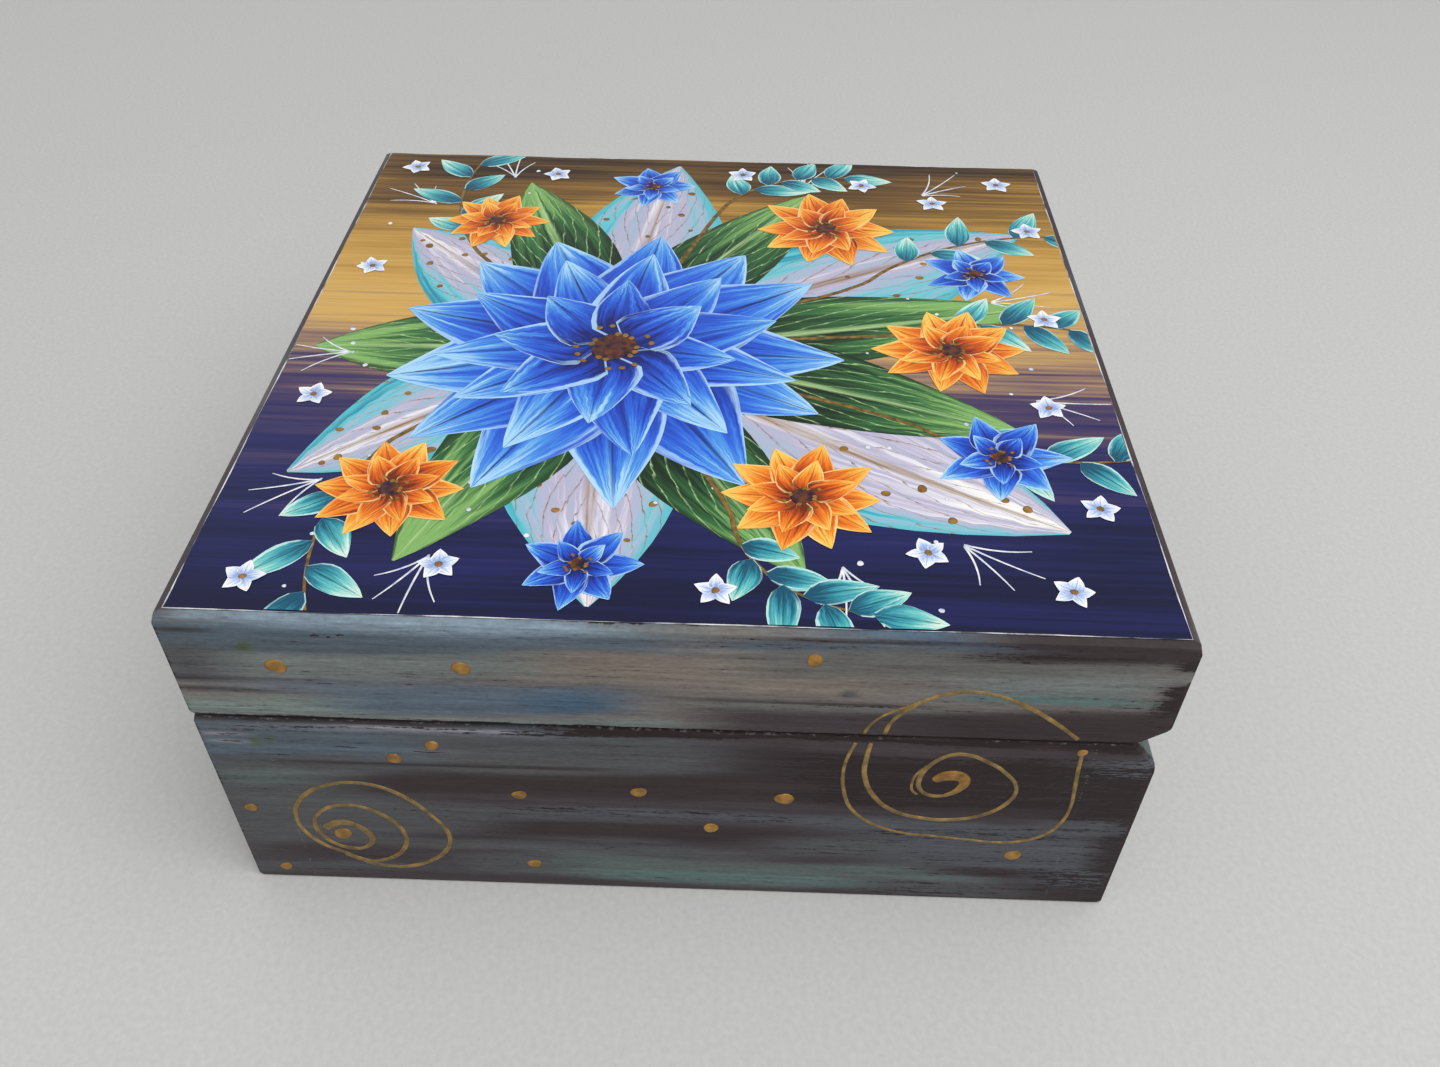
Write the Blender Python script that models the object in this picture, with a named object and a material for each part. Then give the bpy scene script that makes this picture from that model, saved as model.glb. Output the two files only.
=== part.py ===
"""A painted wooden keepsake box with a hinged lid: a base tray and a lid, each four boards and a plywood
panel, joined at the back by two small brass butt hinges. Metres, +Z up, front towards -Y, origin at the
bottom centre."""

from math import cos, pi, radians, sin

import bmesh
import bpy
from mathutils import Matrix, Vector

# Overall box
WIDTH = 0.158
DEPTH = 0.160
BASE_HEIGHT = 0.048
LID_HEIGHT = 0.0236

# Boards and panels
WALL = 0.011
PANEL = 0.004
PANEL_SEAT = 0.005

# Paper sheet on the lid
PAPER = 0.0003
PAPER_INSET = 0.0018

# Sanded edges: the upright corners, the lid's upper rim, the foot, and the two lips at the parting line
CORNER_EASE = 0.0010
RIM_EASE = 0.0017
FOOT_EASE = 0.0010
BASE_LIP_EASE = 0.0014
LID_LIP_EASE = 0.0010

# Bevels along the back, which meet and stop the open lid
VEE_DEPTH = 0.0050
VEE_BASE = 0.0059
VEE_LID = 0.0038
VEE_EASE = 0.0004

# Brass butt hinges: a blank with tabs, joggled and rolled round the pin
HINGE_FROM_END = 0.031
HINGE_LENGTH = 0.022
HINGE_AXIS_OUT = 0.0014
KNUCKLES = 5
KNUCKLE_RADIUS = 0.0018
LEAF = 0.0008
LEAF_MARGIN = 0.0010
JOGGLE = 0.0012
ROLL_ANGLE = radians(272)
PIN_HEAD_RADIUS = 0.0014
PIN_CROWN_RADIUS = 0.00098
PIN_HEAD_HEIGHT = 0.0006

# Countersunk brass screws
SCREW_FROM_END = 0.0045
SCREW_LENGTH = 0.008
SCREW_HEAD = 0.0014
SCREW_SHANK = 0.0007
SCREW_TIP = 0.0015
SLOT_WIDTH = 0.0004
SLOT_DEPTH = 0.00035

# Fits
SEAM = 0.0002
GLUE = 0.0001
PLAY = 0.0003
OVERCUT = 0.004

# Facets
EASE_SEGMENTS = 2
TURNED_STEPS = 20
JOGGLE_STEPS = 3
ROLL_STEPS = 15
SMOOTH_ANGLE = radians(35)
MERGE_DISTANCE = 1e-7
ALONG_SHARE = 0.9

# Heights and lines that several pieces share
BASE_TOP = BASE_HEIGHT - PLAY / 2
LID_FOOT = BASE_HEIGHT + PLAY / 2
LID_TOP = BASE_HEIGHT + LID_HEIGHT
HINGE_Y = DEPTH / 2 - VEE_DEPTH + HINGE_AXIS_OUT
LEAF_REACH = HINGE_Y - (DEPTH / 2 - WALL) - LEAF_MARGIN
LEAF_NOTCH = KNUCKLE_RADIUS + PLAY
SCREW_REACH = (LEAF_REACH + LEAF_NOTCH) / 2
SCREW_OUT = HINGE_LENGTH / 2 - SCREW_FROM_END
HINGE_X = {"left": HINGE_FROM_END - WIDTH / 2, "right": WIDTH / 2 - HINGE_FROM_END}

# Painted board, bare plywood, printed paper, brass and steel: colour, roughness, metallic
FINISHES = {
    "painted_board": ((0.13, 0.15, 0.16), 0.45, 0.0),
    "plywood": ((0.55, 0.38, 0.22), 0.70, 0.0),
    "printed_paper": ((0.22, 0.20, 0.26), 0.35, 0.0),
    "brass": ((0.62, 0.42, 0.14), 0.35, 1.0),
    "steel": ((0.45, 0.44, 0.42), 0.35, 1.0),
}


def clear_scene():
    for old in list(bpy.data.objects):
        bpy.data.objects.remove(old, do_unlink=True)


def make_finish(name):
    colour, roughness, metallic = FINISHES[name]
    material = bpy.data.materials.new(name)
    material.use_nodes = True
    shader = material.node_tree.nodes["Principled BSDF"]
    shader.inputs["Base Color"].default_value = (*colour, 1)
    shader.inputs["Roughness"].default_value = roughness
    shader.inputs["Metallic"].default_value = metallic
    return material


def mesh_from(bm, name):
    bmesh.ops.recalc_face_normals(bm, faces=bm.faces)
    mesh = bpy.data.meshes.new(name)
    bm.to_mesh(mesh)
    bm.free()
    return mesh


def add_object(name, mesh, place, parent=None):
    """An object at a place given in the box's own frame, under an unturned parent."""
    thing = bpy.data.objects.new(name, mesh)
    bpy.context.scene.collection.objects.link(thing)
    thing.parent = parent
    thing.location = Vector(place) - (parent.location if parent else Vector())
    return thing


def finish(thing, material):
    """Gives a piece a material of its own."""
    own = material.copy()
    own.name = f"{thing.name}_{material.name}"
    thing.data.materials.clear()
    thing.data.materials.append(own)


def as_helper(thing):
    thing.hide_render = True
    thing.display_type = "WIRE"
    return thing


def block_mesh(name, size):
    bm = bmesh.new()
    bmesh.ops.create_cube(bm, size=1, matrix=Matrix.Diagonal((*size, 1)))
    return mesh_from(bm, name)


def block(name, low, high, parent=None):
    """A box between two corners, with its origin at its middle."""
    low, high = Vector(low), Vector(high)
    return add_object(name, block_mesh(name, high - low), (low + high) / 2, parent)


def turned_mesh(name, profile):
    """A closed turned solid about Z, from (radius, height) points that start and end on the axis."""
    bm = bmesh.new()
    points = [bm.verts.new((radius, 0, height)) for radius, height in profile]
    edges = [bm.edges.new(pair) for pair in zip(points, points[1:])]
    outline = points + edges
    axis, centre = (0, 0, 1), (0, 0, 0)
    bmesh.ops.spin(
        bm, geom=outline, axis=axis, cent=centre, angle=2 * pi, steps=TURNED_STEPS, use_merge=True
    )
    bmesh.ops.remove_doubles(bm, verts=bm.verts, dist=MERGE_DISTANCE)
    mesh = mesh_from(bm, name)
    mesh.shade_smooth()
    mesh.set_sharp_from_angle(angle=SMOOTH_ANGLE)
    return mesh


def boolean(thing, other, operation="DIFFERENCE"):
    modifier = thing.modifiers.new(f"{operation.lower()}_{other.name}", "BOOLEAN")
    modifier.operation = operation
    modifier.solver = "EXACT"
    modifier.object = other


def frozen_mesh(thing):
    """A plain mesh of the object with its modifiers carried out."""
    graph = bpy.context.evaluated_depsgraph_get()
    return bpy.data.meshes.new_from_object(thing.evaluated_get(graph)).copy()


def edge_is_along(edge, axis):
    run = edge.verts[1].co - edge.verts[0].co
    return abs(run[axis]) > ALONG_SHARE * run.length


def envelope(name, low, high, vee, upright, top, bottom):
    """The outer form of the base or the lid: a box with one bevel along its back and its edges eased.

    vee is the bevel's height: up from the bottom edge where it is positive, down from the top edge where
    it is negative. upright, top and bottom are the widths of the eased edges."""
    bm = bmesh.new()
    size = Vector(high) - Vector(low)
    middle = (Vector(low) + Vector(high)) / 2
    place = Matrix.Translation(middle) @ Matrix.Diagonal((*size, 1))
    bmesh.ops.create_cube(bm, size=1, matrix=place)
    apex = (0, high[1] - VEE_DEPTH, BASE_HEIGHT)
    outward = (0, abs(vee), -VEE_DEPTH if vee > 0 else VEE_DEPTH)
    everything = bm.verts[:] + bm.edges[:] + bm.faces[:]
    cut = bmesh.ops.bisect_plane(bm, geom=everything, plane_co=apex, plane_no=outward, clear_outer=True)
    rim = [item for item in cut["geom_cut"] if isinstance(item, bmesh.types.BMEdge)]
    bmesh.ops.edgeloop_fill(bm, edges=rim)

    widest = max(upright, top, bottom)
    weights = bm.edges.layers.float.new("bevel_weight_edge")
    for edge in bm.edges:
        heights = [corner.co.z for corner in edge.verts]
        if edge in rim:
            width = VEE_EASE
        elif edge_is_along(edge, 2):
            width = upright
        elif min(heights) > middle.z:
            width = top
        else:
            width = bottom
        edge[weights] = width / widest
    form = as_helper(add_object(name, mesh_from(bm, name), (0, 0, 0)))
    ease = form.modifiers.new("eased_edges", "BEVEL")
    ease.limit_method = "WEIGHT"
    ease.width = widest
    ease.segments = EASE_SEGMENTS
    form.modifiers.new("flat_facets", "TRIANGULATE")
    return form


def four_walls(prefix, form, panel_seat, parent, material):
    """Front and back boards that run the full width, with the side boards housed between them."""
    x, y = WIDTH / 2, DEPTH / 2
    z0, z1 = -OVERCUT, LID_TOP + OVERCUT
    side_end = y - WALL - SEAM
    corners = {
        "front": ((-x - OVERCUT, -y - OVERCUT, z0), (x + OVERCUT, -y + WALL, z1)),
        "back": ((-x - OVERCUT, y - WALL, z0), (x + OVERCUT, y + OVERCUT, z1)),
        "left": ((-x - OVERCUT, -side_end, z0), (-x + WALL, side_end, z1)),
        "right": ((x - WALL, -side_end, z0), (x + OVERCUT, side_end, z1)),
    }
    walls = {}
    for side, (low, high) in corners.items():
        wall = block(f"{prefix}_{side}_wall", low, high, parent)
        boolean(wall, form, "INTERSECT")
        boolean(wall, panel_seat)
        finish(wall, material)
        walls[side] = wall
    return walls


def panel(name, bottom, parent, material, seat_low, seat_high):
    """A plywood panel in the rebate round the walls, and the cutter that makes the rebate."""
    x = WIDTH / 2 - WALL + PANEL_SEAT
    y = DEPTH / 2 - WALL + PANEL_SEAT
    sheet = block(name, (-x, -y, bottom), (x, y, bottom + PANEL), parent)
    finish(sheet, material)
    x, y = x + SEAM, y + SEAM
    return as_helper(block(f"{name}_seat", (-x, -y, seat_low), (x, y, seat_high)))


def leaf_point(along, lift):
    """Where a point of the flat blank ends up: along runs from the leaf's inner edge, lift is from the
    middle of its thickness."""
    middle_radius = KNUCKLE_RADIUS - LEAF / 2
    flat_level = -(PLAY + LEAF) / 2
    y = along - LEAF_REACH
    if y <= -JOGGLE:
        return y, flat_level + lift
    if y <= 0:
        share = (y + JOGGLE) / JOGGLE
        drop = share * share * (3 - 2 * share)
        return y, flat_level + (-middle_radius - flat_level) * drop + lift
    angle = y / middle_radius - pi / 2
    return (middle_radius - lift) * cos(angle), (middle_radius - lift) * sin(angle)


def leaf_mesh(name, first_knuckle):
    """A hinge leaf about its own axis: every second knuckle from first_knuckle on, and the rest of the
    edge notched."""
    pitch = HINGE_LENGTH / KNUCKLES
    columns = [-HINGE_LENGTH / 2]
    for number in range(1, KNUCKLES):
        boundary = -HINGE_LENGTH / 2 + number * pitch
        columns += [boundary - PLAY / 2, boundary + PLAY / 2]
    columns.append(HINGE_LENGTH / 2)
    roll_length = ROLL_ANGLE * (KNUCKLE_RADIUS - LEAF / 2)
    rows = [0, LEAF_REACH - LEAF_NOTCH]
    rows += [LEAF_REACH - JOGGLE + JOGGLE * step / JOGGLE_STEPS for step in range(JOGGLE_STEPS + 1)]
    rows += [LEAF_REACH + roll_length * (step + 1) / ROLL_STEPS for step in range(ROLL_STEPS)]

    bm = bmesh.new()
    corners = [bm.verts.new((x, rows[0], -LEAF / 2)) for x in columns]
    front = [bm.edges.new(pair) for pair in zip(corners, corners[1:])]
    for start, end in zip(rows, rows[1:]):
        grown = bmesh.ops.extrude_edge_only(bm, edges=front)["geom"]
        front = [item for item in grown if isinstance(item, bmesh.types.BMEdge) and item.is_boundary]
        front = [edge for edge in front if edge_is_along(edge, 0)]
        moved = {corner for edge in front for corner in edge.verts}
        bmesh.ops.translate(bm, verts=list(moved), vec=(0, end - start, 0))
    notched = []
    for face in bm.faces:
        middle = face.calc_center_median()
        if middle.y < rows[1]:
            continue
        number, offset = divmod(middle.x + HINGE_LENGTH / 2, pitch)
        in_gap = offset < PLAY / 2 and number > 0 or offset > pitch - PLAY / 2 and number < KNUCKLES - 1
        if in_gap or int(number) % 2 != first_knuckle:
            notched.append(face)
    bmesh.ops.delete(bm, geom=notched, context="FACES")
    lifted = bmesh.ops.extrude_face_region(bm, geom=bm.faces[:])["geom"]
    raised = [item for item in lifted if isinstance(item, bmesh.types.BMVert)]
    bmesh.ops.translate(bm, verts=raised, vec=(0, 0, LEAF))
    for corner in bm.verts:
        corner.co.y, corner.co.z = leaf_point(corner.co.y, corner.co.z)
    mesh = mesh_from(bm, name)
    mesh.shade_smooth()
    mesh.set_sharp_from_angle(angle=SMOOTH_ANGLE)
    return mesh


def screw_profile():
    cone = SCREW_HEAD - SCREW_SHANK
    point = SCREW_TIP - SCREW_LENGTH
    return [(0, 0), (SCREW_HEAD, 0), (SCREW_SHANK, -cone), (SCREW_SHANK, point), (0, -SCREW_LENGTH)]


def screw_hole_profile():
    """Countersink and pilot hole round the screw, open above its head."""
    cone = SCREW_HEAD - SCREW_SHANK
    bore = SCREW_SHANK + PLAY
    deep = -SCREW_LENGTH - PLAY
    return [(0, LEAF), (bore + cone + LEAF, LEAF), (bore, -cone), (bore, deep), (0, deep)]


def screw_mesh():
    """A countersunk screw with its slot along X and the top of its head at the origin."""
    blank = as_helper(add_object("screw_blank", turned_mesh("screw_blank", screw_profile()), (0, 0, 0)))
    slot = (2 * SCREW_HEAD + OVERCUT, SLOT_WIDTH, 2 * SLOT_DEPTH)
    boolean(blank, as_helper(add_object("screw_slot", block_mesh("screw_slot", slot), (0, 0, 0))))
    return frozen_mesh(blank)


def pin_mesh():
    """A hinge pin along X with a low head at each end."""
    reach = HINGE_LENGTH / 2 + PLAY
    end = reach + PIN_HEAD_HEIGHT
    shoulder = reach + PIN_HEAD_HEIGHT / 2
    shank = KNUCKLE_RADIUS - LEAF - PLAY
    head = [(0, end), (PIN_CROWN_RADIUS, end), (PIN_HEAD_RADIUS, shoulder), (PIN_HEAD_RADIUS, reach)]
    half = head + [(shank, reach)]
    other_half = [(radius, -height) for radius, height in reversed(half)]
    mesh = turned_mesh("pin", half + other_half)
    mesh.transform(Matrix.Rotation(pi / 2, 4, "Y"))
    return mesh


def hinge_cutters(name, x, up):
    """The mortise and barrel groove of one hinge in the base, up = -1, or in the lid, up = 1."""
    half = HINGE_LENGTH / 2 + PLAY
    levels = sorted((BASE_HEIGHT - up * OVERCUT, BASE_HEIGHT + up * (PLAY / 2 + LEAF + PLAY)))
    inner_edge = HINGE_Y - LEAF_REACH - PLAY
    mortise = block(f"{name}_mortise", (x - half, inner_edge, levels[0]), (x + half, HINGE_Y, levels[1]))
    barrel_half = half + PIN_HEAD_HEIGHT + PLAY
    radius = KNUCKLE_RADIUS + PLAY
    groove = [(0, barrel_half), (radius, barrel_half), (radius, -barrel_half), (0, -barrel_half)]
    mesh = turned_mesh(f"{name}_barrel", groove)
    mesh.transform(Matrix.Rotation(pi / 2, 4, "Y"))
    barrel = add_object(f"{name}_barrel", mesh, (x, HINGE_Y, BASE_HEIGHT))
    return [as_helper(mortise), as_helper(barrel)]


def hinge_half(side, half, leaf_form, screw_form, hole_form, wall, parent, brass):
    """One leaf with its two screws, let into the back wall of the base or the lid."""
    x = HINGE_X[side]
    up = -1 if half == "base" else 1
    turn = 0 if half == "base" else pi
    name = f"hinge_{side}_{half}"
    leaf = add_object(f"{name}_leaf", leaf_form.copy(), (x, HINGE_Y, BASE_HEIGHT), parent)
    leaf.rotation_euler.y = turn
    finish(leaf, brass)
    for cutter in hinge_cutters(name, x, up):
        boolean(wall, cutter)
    for number, offset in enumerate((-SCREW_OUT, SCREW_OUT), start=1):
        place = (x + offset, HINGE_Y - SCREW_REACH, BASE_HEIGHT + up * PLAY / 2)
        hole = as_helper(add_object(f"{name}_hole_{number}", hole_form, place))
        hole.rotation_euler.y = turn
        boolean(leaf, hole)
        boolean(wall, hole)
        screw = add_object(f"{name}_screw_{number}", screw_form.copy(), place, parent)
        screw.rotation_euler.y = turn
        finish(screw, brass)


def main():
    clear_scene()
    finishes = {name: make_finish(name) for name in FINISHES}
    base_seat = add_object("base", None, (0, 0, 0))
    lid_pivot = add_object("lid_pivot", None, (0, HINGE_Y, BASE_HEIGHT))

    x, y = WIDTH / 2, DEPTH / 2
    base_form = envelope(
        "base_form", (-x, -y, 0), (x, y, BASE_TOP), -VEE_BASE, CORNER_EASE, BASE_LIP_EASE, FOOT_EASE
    )
    lid_form = envelope(
        "lid_form", (-x, -y, LID_FOOT), (x, y, LID_TOP), VEE_LID, CORNER_EASE, RIM_EASE, LID_LIP_EASE
    )
    plywood = finishes["plywood"]
    bottom_seat = panel("base_bottom_panel", 0, base_seat, plywood, -OVERCUT, PANEL + SEAM)
    top_seat = panel(
        "lid_top_panel", LID_TOP - PANEL, lid_pivot, plywood, LID_TOP - PANEL - SEAM, LID_TOP + OVERCUT
    )
    base_walls = four_walls("base", base_form, bottom_seat, base_seat, finishes["painted_board"])
    lid_walls = four_walls("lid", lid_form, top_seat, lid_pivot, finishes["painted_board"])

    paper_x, paper_y = x - PAPER_INSET, y - PAPER_INSET
    paper_low = (-paper_x, -paper_y, LID_TOP + GLUE)
    paper_high = (paper_x, paper_y, LID_TOP + GLUE + PAPER)
    sheet = block("lid_print", paper_low, paper_high, lid_pivot)
    finish(sheet, finishes["printed_paper"])

    base_leaf = leaf_mesh("base_leaf", 0)
    lid_leaf = leaf_mesh("lid_leaf", 1)
    screw_form = screw_mesh()
    hole_form = turned_mesh("screw_hole", screw_hole_profile())
    pin_form = pin_mesh()
    brass = finishes["brass"]
    for side, hinge_x in HINGE_X.items():
        hinge_half(side, "base", base_leaf, screw_form, hole_form, base_walls["back"], base_seat, brass)
        hinge_half(side, "lid", lid_leaf, screw_form, hole_form, lid_walls["back"], lid_pivot, brass)
        place = (hinge_x, HINGE_Y, BASE_HEIGHT)
        pin = add_object(f"hinge_{side}_pin", pin_form.copy(), place, base_seat)
        finish(pin, finishes["steel"])


main()
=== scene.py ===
import random
from functools import partial
from math import atan2, cos, floor, hypot, pi, radians, sin, tau

import bmesh
import bpy
import numpy as np
from mathutils import Matrix, Vector


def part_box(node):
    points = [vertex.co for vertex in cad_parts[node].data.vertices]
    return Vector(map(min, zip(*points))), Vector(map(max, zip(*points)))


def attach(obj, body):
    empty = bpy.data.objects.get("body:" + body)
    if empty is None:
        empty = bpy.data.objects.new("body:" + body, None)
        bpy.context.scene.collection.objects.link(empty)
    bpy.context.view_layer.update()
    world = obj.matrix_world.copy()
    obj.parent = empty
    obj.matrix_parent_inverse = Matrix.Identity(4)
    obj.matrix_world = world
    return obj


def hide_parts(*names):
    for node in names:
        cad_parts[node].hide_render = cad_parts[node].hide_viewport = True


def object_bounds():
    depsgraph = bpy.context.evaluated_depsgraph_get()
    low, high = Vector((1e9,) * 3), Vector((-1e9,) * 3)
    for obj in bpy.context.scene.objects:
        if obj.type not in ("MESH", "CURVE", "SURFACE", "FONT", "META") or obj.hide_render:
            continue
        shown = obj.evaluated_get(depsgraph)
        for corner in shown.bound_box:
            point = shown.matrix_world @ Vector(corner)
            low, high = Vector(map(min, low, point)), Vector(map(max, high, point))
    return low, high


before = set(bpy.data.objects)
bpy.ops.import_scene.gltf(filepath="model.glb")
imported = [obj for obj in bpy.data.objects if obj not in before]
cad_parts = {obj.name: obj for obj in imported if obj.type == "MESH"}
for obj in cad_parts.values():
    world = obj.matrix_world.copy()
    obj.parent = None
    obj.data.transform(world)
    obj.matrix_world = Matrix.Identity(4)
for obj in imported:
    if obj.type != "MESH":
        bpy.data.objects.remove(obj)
cad_low, cad_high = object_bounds()

MM = 0.001
HALF_WIDTH = cad_high.x
HALF_DEPTH = cad_high.y
BASE_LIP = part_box("base_right_wall")[1].z
LID_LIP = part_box("lid_right_wall")[0].z
PRINT_LOW, PRINT_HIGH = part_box("lid_print")

# The camera of the photograph, found from the box's own corners.
CAMERA_PLACE = Vector((204.91, 9.09, 208.01)) * MM
CAMERA_TARGET = Vector((17.86, 5.59, 36.0)) * MM
CAMERA_ROLL = radians(0.977)
CAMERA_LENS = 30.78
CAMERA_SENSOR = 36.0

# Paint stands proud of the boards by this much, so the boards' faces sit back by it.
PAINT_RELIEF = 0.15 * MM
MARK_RELIEF = 0.03 * MM
BRUSH_GRID_ALONG = 1.0 * MM
BRUSH_GRID_UP = 0.5 * MM

# The side boards end at the seam lines on the front and back boards; paint closes the gap to a hair.
SIDE_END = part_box("base_right_wall")[1].y
SEAM_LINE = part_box("base_back_wall")[0].y
SEAM_HAIR = 0.012 * MM
CRISP_EDGE = radians(35)

# Colours of the acrylics on the boards, as sRGB hex.
UMBER = "#271c1e"
DARK_PLUM = "#2f2224"
PLUM = "#3c3236"
MAUVE = "#5a5258"
INK_BLUE = "#40586d"
SLATE = "#515c66"
STEEL = "#52606d"
MIST = "#62676f"
# A pale blue-grey for the lid's rounded top edge: partly its paint, partly a painted highlight of light along
# the rounded edge.
RIM_STEEL_AND_HIGHLIGHT = "#788895"
ASH = "#4c4c4e"
LEAD = "#4a4c52"
MOSS = "#566160"
TEAL = "#566d6b"
SAGE = "#6d7472"
PALE_SAGE = "#76827d"
TAUPE = "#706a66"
WARM_TAUPE = "#7a7067"
GREY = "#63625f"
OLIVE = "#4a5638"
SCUFF = "#8e8a93"


def linear(hex_value):
    """An sRGB hex colour as the linear RGBA that shaders take."""
    parts = [int(hex_value[i:i + 2], 16) / 255 for i in (1, 3, 5)]
    return [c / 12.92 if c <= 0.04045 else ((c + 0.055) / 1.055) ** 2.4 for c in parts] + [1.0]


# Settings that many nodes share: a product added to a sum, a mix of two colours, and an eased range.
SUM = {"operation": "MULTIPLY_ADD"}
MIX = {"data_type": "RGBA", "out": 2}
EASED = {"interpolation_type": "SMOOTHSTEP"}


def add_node(tree, kind, inputs=(), stops=(), out=0, **settings):
    """Add one node and return its output: settings are its properties, inputs are values or links, stops
    fill a ramp."""
    node = tree.nodes.new("ShaderNode" + kind)
    for key, value in settings.items():
        setattr(node, key, value)
    for key, value in dict(inputs).items():
        if isinstance(value, bpy.types.NodeSocket):
            tree.links.new(value, node.inputs[key])
        else:
            node.inputs[key].default_value = value
    for index, (place, colour) in enumerate(stops):
        if index >= len(node.color_ramp.elements):
            node.color_ramp.elements.new(1.0)
        node.color_ramp.elements[index].position = place
        node.color_ramp.elements[index].color = linear(colour)
    return node.outputs if out is None else node.outputs[out]


def new_finish(name, sockets):
    """A material with plain values on its shader's own sockets, and the way to add nodes to it."""
    material = bpy.data.materials.new(name)
    material.use_nodes = True
    tree = material.node_tree
    for socket, value in sockets.items():
        tree.nodes["Principled BSDF"].inputs[socket].default_value = value
    return material, partial(add_node, tree)


def surface(material, tone, grain=None, rough=(), span=(0.0, 1.0), relief=None, strength=0.0, depth=0.0):
    """Wire a finish: its colour, a roughness that follows its grain, and a relief of so many millimetres."""
    tree = material.node_tree
    shader = tree.nodes["Principled BSDF"]
    tree.links.new(tone, shader.inputs["Base Color"])
    if grain is not None:
        dull = add_node(tree, "MapRange", {"Value": grain, "From Min": span[0], "From Max": span[1],
                                           "To Min": rough[0], "To Max": rough[1]})
        tree.links.new(dull, shader.inputs["Roughness"])
    if relief is not None:
        bump = add_node(tree, "Bump", {"Height": relief, "Strength": strength, "Distance": depth * MM})
        tree.links.new(bump, shader.inputs["Normal"])
    return material


# The marks of the brush: length along and height up the board in millimetres, and share of each. Their
# sum keeps within the span, round the middle.
BRISTLES = (("wide", 70, 2.2, 0.6), ("fine", 26, 0.85, 0.8), ("hair", 5, 0.32, 0.9), ("speck", 1.1, 0.4, 0.7))
MARKS_SPAN = (1.05, 1.95)
MARKS_MIDDLE = 1.5


def brushed_acrylic():
    """Acrylic pulled along the boards with a dry flat brush over a plum-brown base coat, then satin
    varnish: bristle streaks under a millimetre wide, ragged stroke ends, rubbed and scuffed edges."""
    material, node = new_finish("brushed_acrylic_on_board", {"IOR": 1.49, "Specular IOR Level": 0.22})
    place = node("TexCoord", out="Object")
    bristles, marks = {}, 0.0
    for name, along, up, share in BRISTLES:
        spread = node("Mapping", {
            "Vector": place, "Scale": (1 / (along * MM), 1 / (along * MM), 1 / (up * MM))})
        bristles[name] = node("TexNoise", {"Vector": spread, "Scale": 1.0, "Detail": 3.0, "Roughness": 0.6})
        marks = node("Math", {0: bristles[name], 1: share, 2: marks}, **SUM)
    colour = node("Attribute", attribute_name="brush_colour", out="Color")
    load, rub, scuff = (node("Attribute", attribute_name=name, out="Fac")
                        for name in ("brush_load", "edge_rub", "pale_scuff"))

    level = node("Math", {0: marks, 1: MARKS_MIDDLE}, operation="SUBTRACT")
    kept = node("Math", {0: rub, 1: -0.8, 2: load}, **SUM)
    wet = node("Math", {0: level, 1: 1.5, 2: kept}, **SUM)
    cover = node("MapRange", {"Value": wet, "From Min": 0.36, "From Max": 0.62}, **EASED)

    undercoat = node("ValToRGB", {0: bristles["fine"]},
                     stops=((0.3, "#231a1c"), (0.55, UMBER), (0.75, "#3d3031")))
    grade = node("MapRange", {"Value": marks, "From Min": MARKS_SPAN[0], "From Max": MARKS_SPAN[1]})
    streak_tone = node("ValToRGB", {0: grade}, stops=(
        (0.1, "#7d7577"), (0.32, "#aaa5a6"), (0.5, "#bcbcbc"), (0.7, "#cfd1cf"), (0.92, "#ebe9e3")))
    streak_hue = node("ValToRGB", {0: bristles["wide"]},
                      stops=((0.3, MAUVE), (0.44, SLATE), (0.56, MOSS), (0.7, TAUPE)))
    tinted = node("Mix", {0: 0.07, 6: colour, 7: streak_hue}, **MIX)
    streaked = node("Mix", {0: 0.66, 6: tinted, 7: streak_tone}, blend_type="OVERLAY", **MIX)
    painted = node("Mix", {0: cover, 6: undercoat, 7: streaked}, **MIX)

    chipped = node("Math", {0: scuff, 1: 0.55, 2: bristles["speck"]}, **SUM)
    pale = node("MapRange", {"Value": chipped, "From Min": 0.9, "From Max": 1.1, "To Max": 0.42}, **EASED)
    scuffed = node("Mix", {0: pale, 6: painted, 7: linear(SCUFF)}, **MIX)
    ridges = node("Math", {0: cover, 1: 0.5, 2: marks}, **SUM)
    return surface(material, scuffed, marks, (0.46, 0.64), MARKS_SPAN, ridges, strength=0.3, depth=0.1)


def gold_acrylic(name, dark, usual, bright):
    """Gold hobby acrylic laid on with a liner: mica in ochre, half metal, full in the dabs and thin where
    a line dries."""
    material, node = new_finish(name, {"Metallic": 0.25, "IOR": 1.49})
    place = node("TexCoord", out="Object")
    flow = node("TexNoise", {"Vector": place, "Scale": 1 / (2.2 * MM), "Detail": 3.0})
    grit = node("TexNoise", {"Vector": place, "Scale": 1 / (0.3 * MM), "Detail": 2.0})
    tone = node("ValToRGB", {0: flow}, stops=((0.3, dark), (0.52, usual), (0.72, bright)))
    return surface(material, tone, grit, (0.32, 0.6), relief=grit, strength=0.3, depth=0.05)


def cut_paper():
    """The white core of coated print paper, seen where the knife cut it: matt, grubby in places."""
    material, node = new_finish("coated_paper_edge", {"IOR": 1.5})
    place = node("TexCoord", out="Object")
    fibre = node("TexNoise", {"Vector": place, "Scale": 1 / (5 * MM), "Detail": 4.0})
    tone = node("ValToRGB", {0: fibre}, stops=(
        (0.36, "#5c5654"), (0.45, "#a8a6a8"), (0.56, "#d2d2d5"), (0.75, "#eeedea")))
    return surface(material, tone, fibre, (0.5, 0.75))


USUAL_PETAL = (14, 30)
VARNISH = {"IOR": 1.5, "Specular IOR Level": 0.2, "Coat Weight": 0.15, "Coat Roughness": 0.18}


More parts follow.
